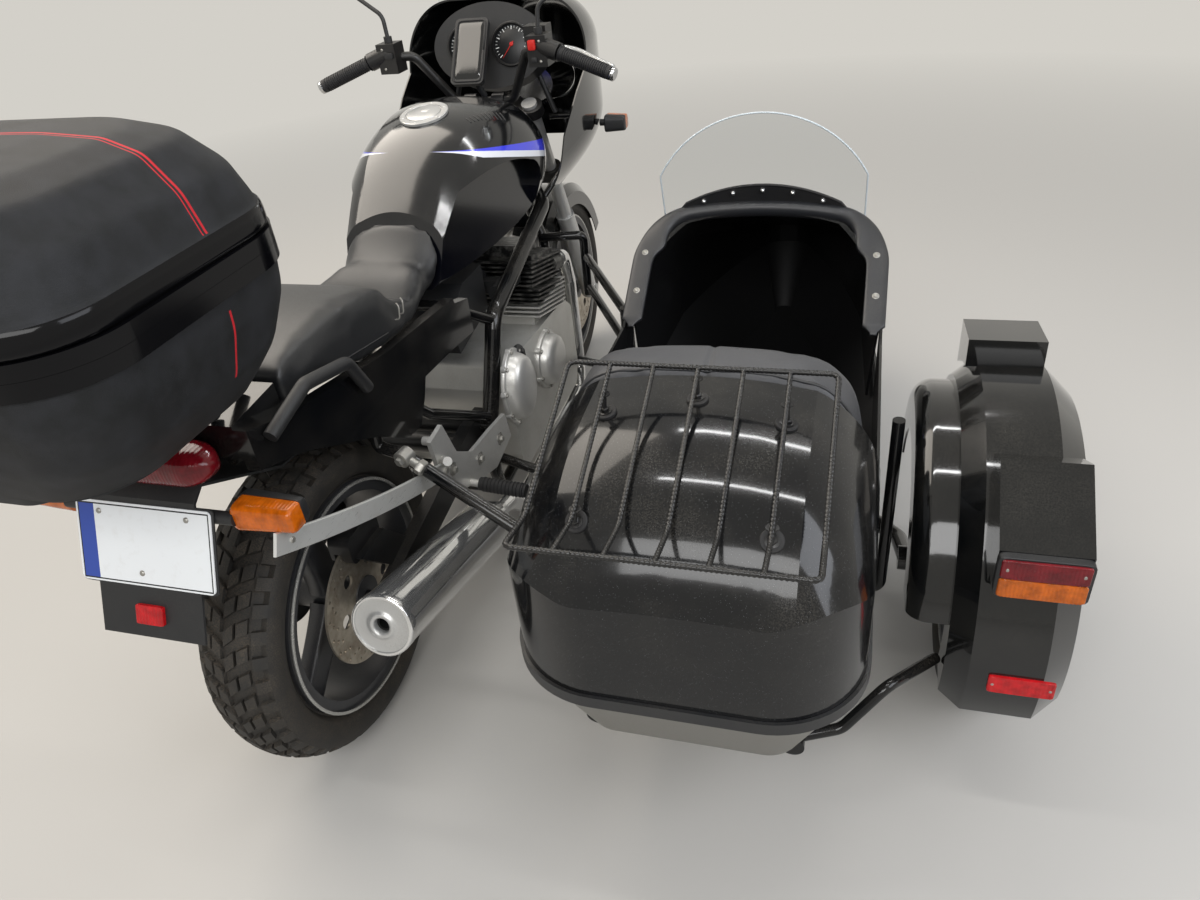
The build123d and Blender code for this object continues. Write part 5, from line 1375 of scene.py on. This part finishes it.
def makeRearSigns():
    # the plate's three screws and the dark carrier behind it
    plate, up = np.array(plateForm["middle"]), unit(plateForm["up"])
    outward = np.array((0, -up[2], up[1]))
    screws = [fastener(plate + (x, 0, 0) + up * height + outward * 0.8, outward, 4.6, 2.6, 18, dome=True)
              for x, height in plateForm["screws"]]
    addPiece("plateScrews", screws, "chassis", "zincPlate", "alloy_bright", sharp=40)
    carrier = lensForm(plate - outward * 4.4, (1, 0, 0), up, plateForm["carrier"], 3.2, 0.0, corner=22, rings=4)
    addPiece("plateCarrier", [carrier], "chassis", "mattePlastic", "black_plastic", sharp=40)


makeFenderLamp()
makeBlinkers()
makeTailLamp()
makeRearSigns()
print("lamps made")


bars = {"gripIn": (225, 1040, 1104), "gripOut": (368, 1009, 1054), "gripRadius": 17}


def alongGrip(side, share):
    # a point on the grip's run, from 0 at the bend to 1 at the end
    first, last = np.array(bars["gripIn"]) * (side, 1, 1), np.array(bars["gripOut"]) * (side, 1, 1)
    return first + (last - first) * share


def makeGrips():
    # rubber sleeve with shallow rings, a collar at its root and a bright weight on the bar's end
    sleeves, weights = [], []
    weight = [(-1, 13), (2, 14), (3, 15.5), (9, 15.5), (11, 14), (12, 10), (12, 0)]
    for side in (-1, 1):
        share = np.linspace(0.18, 1.06, 150)[:, None]
        path = alongGrip(side, share)
        wave = 0.8 * np.sign(np.sin(share[:, 0] * 180)) * ((share[:, 0] > 0.24) & (share[:, 0] < 1.0))
        collar = 3.5 * np.exp(-((share[:, 0] - 0.19) / 0.012) ** 2)
        sleeves.append(tubeGrid(path, bars["gripRadius"] - 1.2 + wave + collar, 24, (0, 0.3, 1)))
        tip, axis = alongGrip(side, 1.06), alongGrip(side, 1) - alongGrip(side, 0)
        weights.append(turnedGrid(weight, tip, axis, 32))
    addPiece("gripSleeves", sleeves, "steering", "softRubber", "rubber", "grips", sharp=35)
    addPiece("barWeights", weights, "steering", "brightSteel", "alloy_bright", sharp=40)


levers = {
    "path": [(196, 1093, 1099.5), (262, 1108, 1090), (362, 1070, 1052)], "pivot": (190, 1092, 1111),
    "blockScrews": [(204, 1025, 1124), (204, 1025, 1080)],
    # centre, half sizes, height, crown and corner of each key
    "stopSwitch": ((186, 1026.5, 1117), (9, 11), 7, 1.5, 6),
    "starter": ((188, 1026.5, 1084), (7, 6), 4, 1.0, 4),
    "left": ((-188, 1026.5, 1110), (11, 7), 6, 1.0, 5),
}


def switchKey(name):
    centre, half, height, crown, corner = levers[name]
    return lensForm(centre, (1, 0, 0), (0, 0, 1), half, height, crown, corner=corner, rings=8)


def makeLevers():
    # cast blade that follows the lever's rod, with a ball on its end; screws and keys of the switch blocks
    blades, knobs = [], []
    for side in (-1, 1):
        mirror = np.array((side, 1, 1))
        path = roundedPath(levers["path"] * mirror, 30, 4)
        share = np.linspace(0, 1, len(path))
        blades.append(tubeGrid(path, 8.2 - 1.2 * np.sin(share * math.pi), 16, (0, 0.3, 1)))
        blades.append(turnedGrid([(-9, 0), (-8, 4.5), (-5, 7.7), (0, 9), (5, 7.7), (8, 4.5), (9, 0)], path[-1],
                                 path[-1] - path[-2], 20))
        knobs.append(fastener(levers["pivot"] * mirror, (0, 0, 1), 7, 4))
        knobs += [fastener(spot * mirror, (0, -1, 0), 3.4, 2, 12, dome=True) for spot in levers["blockScrews"]]
    addPiece("leverBlades", blades, "steering", "satinSteel", "alloy_bright", sharp=50)
    addPiece("leverScrews", knobs, "steering", "zincPlate", "alloy_bright", sharp=40)
    addPiece("stopSwitch", [switchKey("stopSwitch")], "steering", "switchRed", "lens_red", sharp=45)
    keys = [switchKey("starter"), switchKey("left")]
    addPiece("switchKeys", keys, "steering", "mattePlastic", "black_plastic", sharp=45)


dials = {"centre": (0, 1216, 1090), "facing": (0, -0.94, 0.34), "gap": 62, "radius": 50}


def makeDials():
    # two round gauges: raised bezel, dark face, pale marks round it and a red hand
    facing = unit(dials["facing"])
    right = np.array((1.0, 0, 0))
    up = np.cross(facing, right)
    bezels, faces, marks, hands = [], [], [], []
    r = dials["radius"]
    for side, hand in ((-1, 2.3), (1, -2.2)):
        centre = np.array(dials["centre"]) + side * dials["gap"] * right
        bezels.append(turnedGrid([(-1, r + 4), (7, r + 4), (9, r + 2), (9, r - 1), (3, r - 3), (2, r - 3)],
                                 centre, facing, 56))
        faces.append(turnedGrid([(1.8, r - 2), (2.6, r - 3), (2.6, 0)], centre, facing, 56))
        for index in range(25):
            angle = math.radians(225 - index * 11.25)
            ray = math.cos(angle) * right + math.sin(angle) * up
            across = np.cross(facing, ray)
            length, wide = (9, 1.1) if index % 3 == 0 else (5, 0.6)
            foot, tip = centre + ray * (r - 6 - length), centre + ray * (r - 6)
            corners = np.array([[foot - across * wide, tip - across * wide],
                                [foot + across * wide, tip + across * wide]])
            marks.append(patch(corners + facing * 2.9))
        ray = math.cos(hand) * right + math.sin(hand) * up
        pivot = centre + facing * 4
        needle = np.linspace(pivot - ray * 8, pivot + ray * (r - 10), 6)
        hands.append(tubeGrid(needle, np.linspace(1.8, 0.5, 6), 8, (0.2, 0.3, 1)))
        hands.append(turnedGrid([(2, 5), (5, 5), (6, 4), (6, 0)], centre, facing, 20))
    addPiece("dialBezels", bezels, "chassis", "blackSteel", "black_plastic", sharp=40)
    addPiece("dialFaces", faces, "chassis", "dialFace", "black_plastic", sharp=40)
    finishPiece(joined("dialMarks", marks, sharp=40), "chassis", "dialMark", "plate_white")
    addPiece("dialHands", hands, "chassis", "switchRed", "lens_red", sharp=40)


phone = {"spot": (-20, 1140, 1086), "facing": (0, -0.8, 0.6), "lift": 13.4, "window": (35, 73),
         "border": (38.5, 77.5)}


def makePhone():
    # the case's clear window in a raised border
    facing, right = np.array(phone["facing"]), np.array((1.0, 0, 0))
    up = np.cross(facing, right)
    face = np.array(phone["spot"]) + facing * phone["lift"]
    window = lensForm(face, right, up, phone["window"], 1.0, 0.4, corner=14, rings=6)
    u, v = squared(np.linspace(0, 2 * math.pi, 120), 0.2)
    halfX, halfY = phone["border"]
    border = face + facing * 0.6 + halfX * u[:, None] * right + halfY * v[:, None] * up
    addPiece("phoneWindow", [window], "steering", "darkGlass", "gloss_plastic", sharp=50)
    addPiece("phoneBorder", [tubeGrid(border, 2.6, 10, facing)], "steering", "softRubber", "black_plastic")


makeGrips()
makeLevers()
makeDials()
makePhone()
print("handlebar and instruments made")


fittings = {
    "eye": (184, 91, 592), "eyeAxis": (0.25, 0.9, 0.1), "strut": (257, -56, -124),
    "plateFace": 207, "plateBolts": ((440, 402), (330, 424), (210, 480)),
}


def makeFrameFittings():
    # strut eye with its locknut, the bolts of the footrest plates and the ribbed foot pegs
    eye, axis, along = np.array(fittings["eye"]), np.array(fittings["eyeAxis"]), unit(fittings["strut"])
    steel = [
        turnedGrid([(-13, 0), (-13, 15), (-12, 16.5), (12, 16.5), (13, 15), (13, 0)], eye, axis, 28),
        tubeGrid(np.linspace(eye + along * 12, eye + along * 34, 5), 8.2, 18, (0, 1, 0.3)),
        fastener(eye + along * 32, along, 15, 13),
    ]
    bolts, rubbers = [fastener(eye - axis * 13, -axis, 9, 8)], []
    face, washer = fittings["plateFace"], [(-1, 12), (1.6, 12), (2, 11), (2, 0)]
    for side in (-1, 1):
        for y, z in fittings["plateBolts"]:
            bolts.append(turnedGrid(washer, (side * face, y, z), (side, 0, 0), 24))
            bolts.append(fastener((side * (face + 2), y, z), (side, 0, 0), 7.5, 6))
        share = np.linspace(0.2, 1.04, 110)
        path = np.stack([side * (203 + 123 * share), 270 - 4 * share, 405 - 7 * share], -1)
        rib = 1.6 * (np.sin(share * 95) > 0) * (share > 0.24) * (share < 1.0)
        rubbers.append(tubeGrid(path, 14.4 + rib, 20, (0, 0.2, 1)))
    addPiece("strutEye", steel, "chassis", "zincPlate", "alloy_bright", sharp=40)
    addPiece("plateBolts", bolts, "chassis", "zincPlate", "alloy_bright", sharp=38)
    addPiece("pegSleeves", rubbers, "chassis", "softRubber", "rubber", "peg_rubbers", sharp=38)


glasses = {"headlamp": (0, 1612, 935), "headlampHalf": (90, 68), "mirror": (336, 1089.5, 1290),
           "mirrorHalf": (68, 40)}


def makeHeadlampGlass():
    # the headlamp's ribbed lens and the two mirrors' faces
    lens = lensForm(glasses["headlamp"], (-1, 0, 0), (0, 0, 1), glasses["headlampHalf"], 7, 12, 9, 0.6, 2, 30,
                    160)
    addPiece("headlampGlass", [lens], "chassis", "flutedGlass", "headlamp_glass", sharp=70)
    faces = [lensForm(np.array(glasses["mirror"]) * (side, 1, 1), (1, 0, 0), (0, 0.1, 1), glasses["mirrorHalf"],
                      1.2, 0.3, corner=3.4, rings=6) for side in (-1, 1)]
    addPiece("mirrorFaces", faces, "steering", "mirrorGlass", "mirror_black", sharp=50)


louvre = {"first": (92, 800), "step": (5.2, 9.5), "count": 10, "reach": (16, -10)}


def makeLouvre():
    # short raised marks on the tank's right shoulder
    fins = []
    for index in range(louvre["count"]):
        start = np.array(louvre["first"]) + index * np.array(louvre["step"])
        ends = [start + t * np.array(louvre["reach"]) for t in np.linspace(0, 1, 6)]
        path = np.array([surfaceAt("fuel_tank", (float(x), float(y), 1200), (0, 0, -1))[0] for x, y in ends])
        fins.append(tubeGrid(path, 1.5, 8, (0.2, 0.5, 0.3)))
    addPiece("tankLouvre", fins, "chassis", "mattePlastic", "black_plastic")


makeFrameFittings()
makeHeadlampGlass()
makeLouvre()
print("small metal parts made")


luggageCase = {
    "centre": (0, -355), "corner": 92,
    # half width, half length and height of each ring, up the outside and back down within the wall
    "lid": {
        "outer": [(288, 201, 1141), (291, 204, 1142), (290, 203, 1167), (286, 199, 1170), (284, 197.5, 1178),
                  (273, 188, 1215), (243, 164, 1255), (200, 138, 1272), (130, 98, 1279), (0, 0, 1281)],
        "inner": [(285.2, 198.2, 1141)], "bend": 9,
    },
    "base": {
        "outer": [(285.2, 198.2, 1101.5), (289, 202, 1101.5), (288, 201, 1094), (285, 198.5, 1060),
                  (264, 182.5, 1000), (238, 166, 963), (224, 157, 946)],
        "inner": [(220.5, 153.5, 946)], "bend": 12,
    },
}


def roundedOutline(halfX, halfY, corner):
    # rounded rectangle, the same number of points along every corner and side
    turn = np.linspace(0, math.pi / 2, 13)
    points = []
    for quarter in range(4):
        signX, signY = ((1, 1), (-1, 1), (-1, -1), (1, -1))[quarter]
        x = signX * (halfX - corner) + corner * np.cos(turn + quarter * math.pi / 2)
        y = signY * (halfY - corner) + corner * np.sin(turn + quarter * math.pi / 2)
        points.append(np.stack([x, y], -1))
    ends = [(points[k][-1], points[(k + 1) % 4][0]) for k in range(4)]
    sides = [first + (last - first) * np.linspace(0, 1, 8)[1:-1, None] for first, last in ends]
    return np.concatenate([v for pair in zip(points, sides) for v in pair])


def makeCaseCovers():
    # skin over the case's straight walls: rounded rectangles carried up a bent profile
    for part, body, finish in (("lid", "top_case_lid", "lidPlastic"), ("base", "chassis", "basePlastic")):
        form = luggageCase[part]
        outer = roundedPath(form["outer"], form["bend"], 4)
        if part == "lid":
            middle = np.linspace((283, 196, 1148), (224.5, 147.5, 1256), 8)
            inner = np.concatenate([[form["inner"][0]], middle, [(130, 103, 1274.5), (0, 0, 1274.5)]])[::-1]
        else:
            inner = np.linspace(form["inner"][0], (284.5, 197.5, 1095), 10)
        rings = []
        for halfX, halfY, z in np.concatenate([outer, inner]):
            corner = max(0.0, min(luggageCase["corner"], 0.92 * min(halfX, halfY)))
            flat = roundedOutline(halfX, halfY, corner) + luggageCase["centre"]
            rings.append(np.concatenate([flat, np.full((len(flat), 1), z)], axis=1))
        finishPiece(joined("caseCover_" + part, [patch(np.array(rings), True, True)], sharp=55), body, finish,
                    "case_plastic")


makeCaseCovers()
print("luggage case made")


view = {
    "spot": (956, -1057, 1459),
    "yaw": -0.3315,
    "pitch": 0.5933,
    "roll": -0.11447,
    "focalPixels": 870.32,
    "imageWidth": 1200,
}


def makeCamera():
    # yaw about z, pitch downwards and roll turn the camera's right, up and backward directions
    yaw, pitch, roll = view["yaw"], view["pitch"], view["roll"]
    ahead = Vector((math.sin(yaw) * math.cos(pitch), math.cos(yaw) * math.cos(pitch), -math.sin(pitch)))
    level = Vector((math.cos(yaw), -math.sin(yaw), 0))
    upright = level.cross(ahead)
    right = math.cos(roll) * level + math.sin(roll) * upright
    up = -math.sin(roll) * level + math.cos(roll) * upright
    data = bpy.data.cameras.new("photoCamera")
    data.sensor_width = 36
    data.sensor_fit = "HORIZONTAL"
    data.lens = 36 * view["focalPixels"] / view["imageWidth"]
    data.clip_start = 0.01
    camera = bpy.data.objects.new("photoCamera", data)
    turn = Matrix((right, up, -ahead)).transposed().to_4x4()
    camera.matrix_world = Matrix.Translation(Vector(place(view["spot"]))) @ turn
    bpy.context.scene.collection.objects.link(camera)
    bpy.context.scene.camera = camera


studioLamps = {
    # place, what it points at, size, power and tint
    "keyLamp": ((-2.2, 0.6, 3.4), (0, 0, 0.5), (3.0, 2.4), 95, "fff6ea"),
    "sideLamp": ((3.2, -1.2, 2.6), (0, 0, 0.5), (2.4, 2.0), 60, "f2f6ff"),
    "rearLamp": ((0.4, -3.4, 2.8), (0, 0, 0.5), (2.6, 1.4), 70, "ffffff"),
    "frontStrip": ((0.4, 0.9, 2.7), (0.4, 0.4, 0.4), (1.3, 0.07), 9, "ffffff"),
    "rearStrip": ((0.4, -0.6, 2.7), (0.4, -0.4, 0.4), (1.3, 0.07), 9, "ffffff"),
}


def makeLamp(name, spot, target, size, power, tint):
    data = bpy.data.lights.new(name, "AREA")
    data.shape = "RECTANGLE"
    data.size, data.size_y = size
    data.energy = power
    data.color = colour(tint)[:3]
    lamp = bpy.data.objects.new(name, data)
    lamp.location = spot
    lamp.rotation_euler = (Vector(target) - Vector(spot)).to_track_quat("-Z", "Y").to_euler()
    bpy.context.scene.collection.objects.link(lamp)


backdrop = colour("d3d0c9")


def makeFloor():
    # plain pale floor, painted lighter where only the camera sees it
    half = 9000
    points = np.array([(-half, -half, 0), (half, -half, 0), (half, half, 0), (-half, half, 0)], dtype=float)
    floor = meshObject("studioFloor", points, np.array([[0, 1, 2, 3]]))
    material, shader, coords = newFinish("studioFloor", "bdbab4", 0.8)
    x, y, _ = axesOf(material, coords)
    far = maths(material, "SQRT", maths(material, "ADD", maths(material, "POWER", x, 2.0),
                                        maths(material, "POWER", y, 2.0)))
    path = addNode(material, "ShaderNodeLightPath")
    seen = maths(material, "MAXIMUM", path.outputs["Is Camera Ray"], path.outputs["Is Glossy Ray"])
    share = maths(material, "MULTIPLY", spread(material, far, 1.5, 6.0), seen)
    glow = addNode(material, "ShaderNodeEmission", {"Color": backdrop, "Strength": 1.0})
    mixed = addNode(material, "ShaderNodeMixShader", {0: share, 1: shader.outputs[0], 2: glow.outputs[0]})
    join(material, mixed.outputs[0], material.node_tree.nodes["Material Output"].inputs["Surface"])
    floor.data.materials.append(material)


def makeWorld():
    # grey light on the object, and the backdrop's colour where it is seen, mirrored or seen through
    world = bpy.data.worlds.new("studio")
    bpy.context.scene.world = world
    world.use_nodes = True
    path = addNode(world, "ShaderNodeLightPath").outputs
    seen = maths(world, "MAXIMUM", path["Is Camera Ray"], path["Is Glossy Ray"])
    seen = maths(world, "MAXIMUM", seen, path["Is Transmission Ray"])
    tint = blendColour(world, seen, (0.5, 0.51, 0.53, 1.0), backdrop)
    join(world, tint, world.node_tree.nodes["Background"].inputs["Color"])


makeCamera()
makeFloor()
makeWorld()
bpy.context.scene.view_settings.view_transform = "Standard"
for lampName, lampForm in studioLamps.items():
    makeLamp(lampName, *lampForm)
print("camera, floor and lights set")
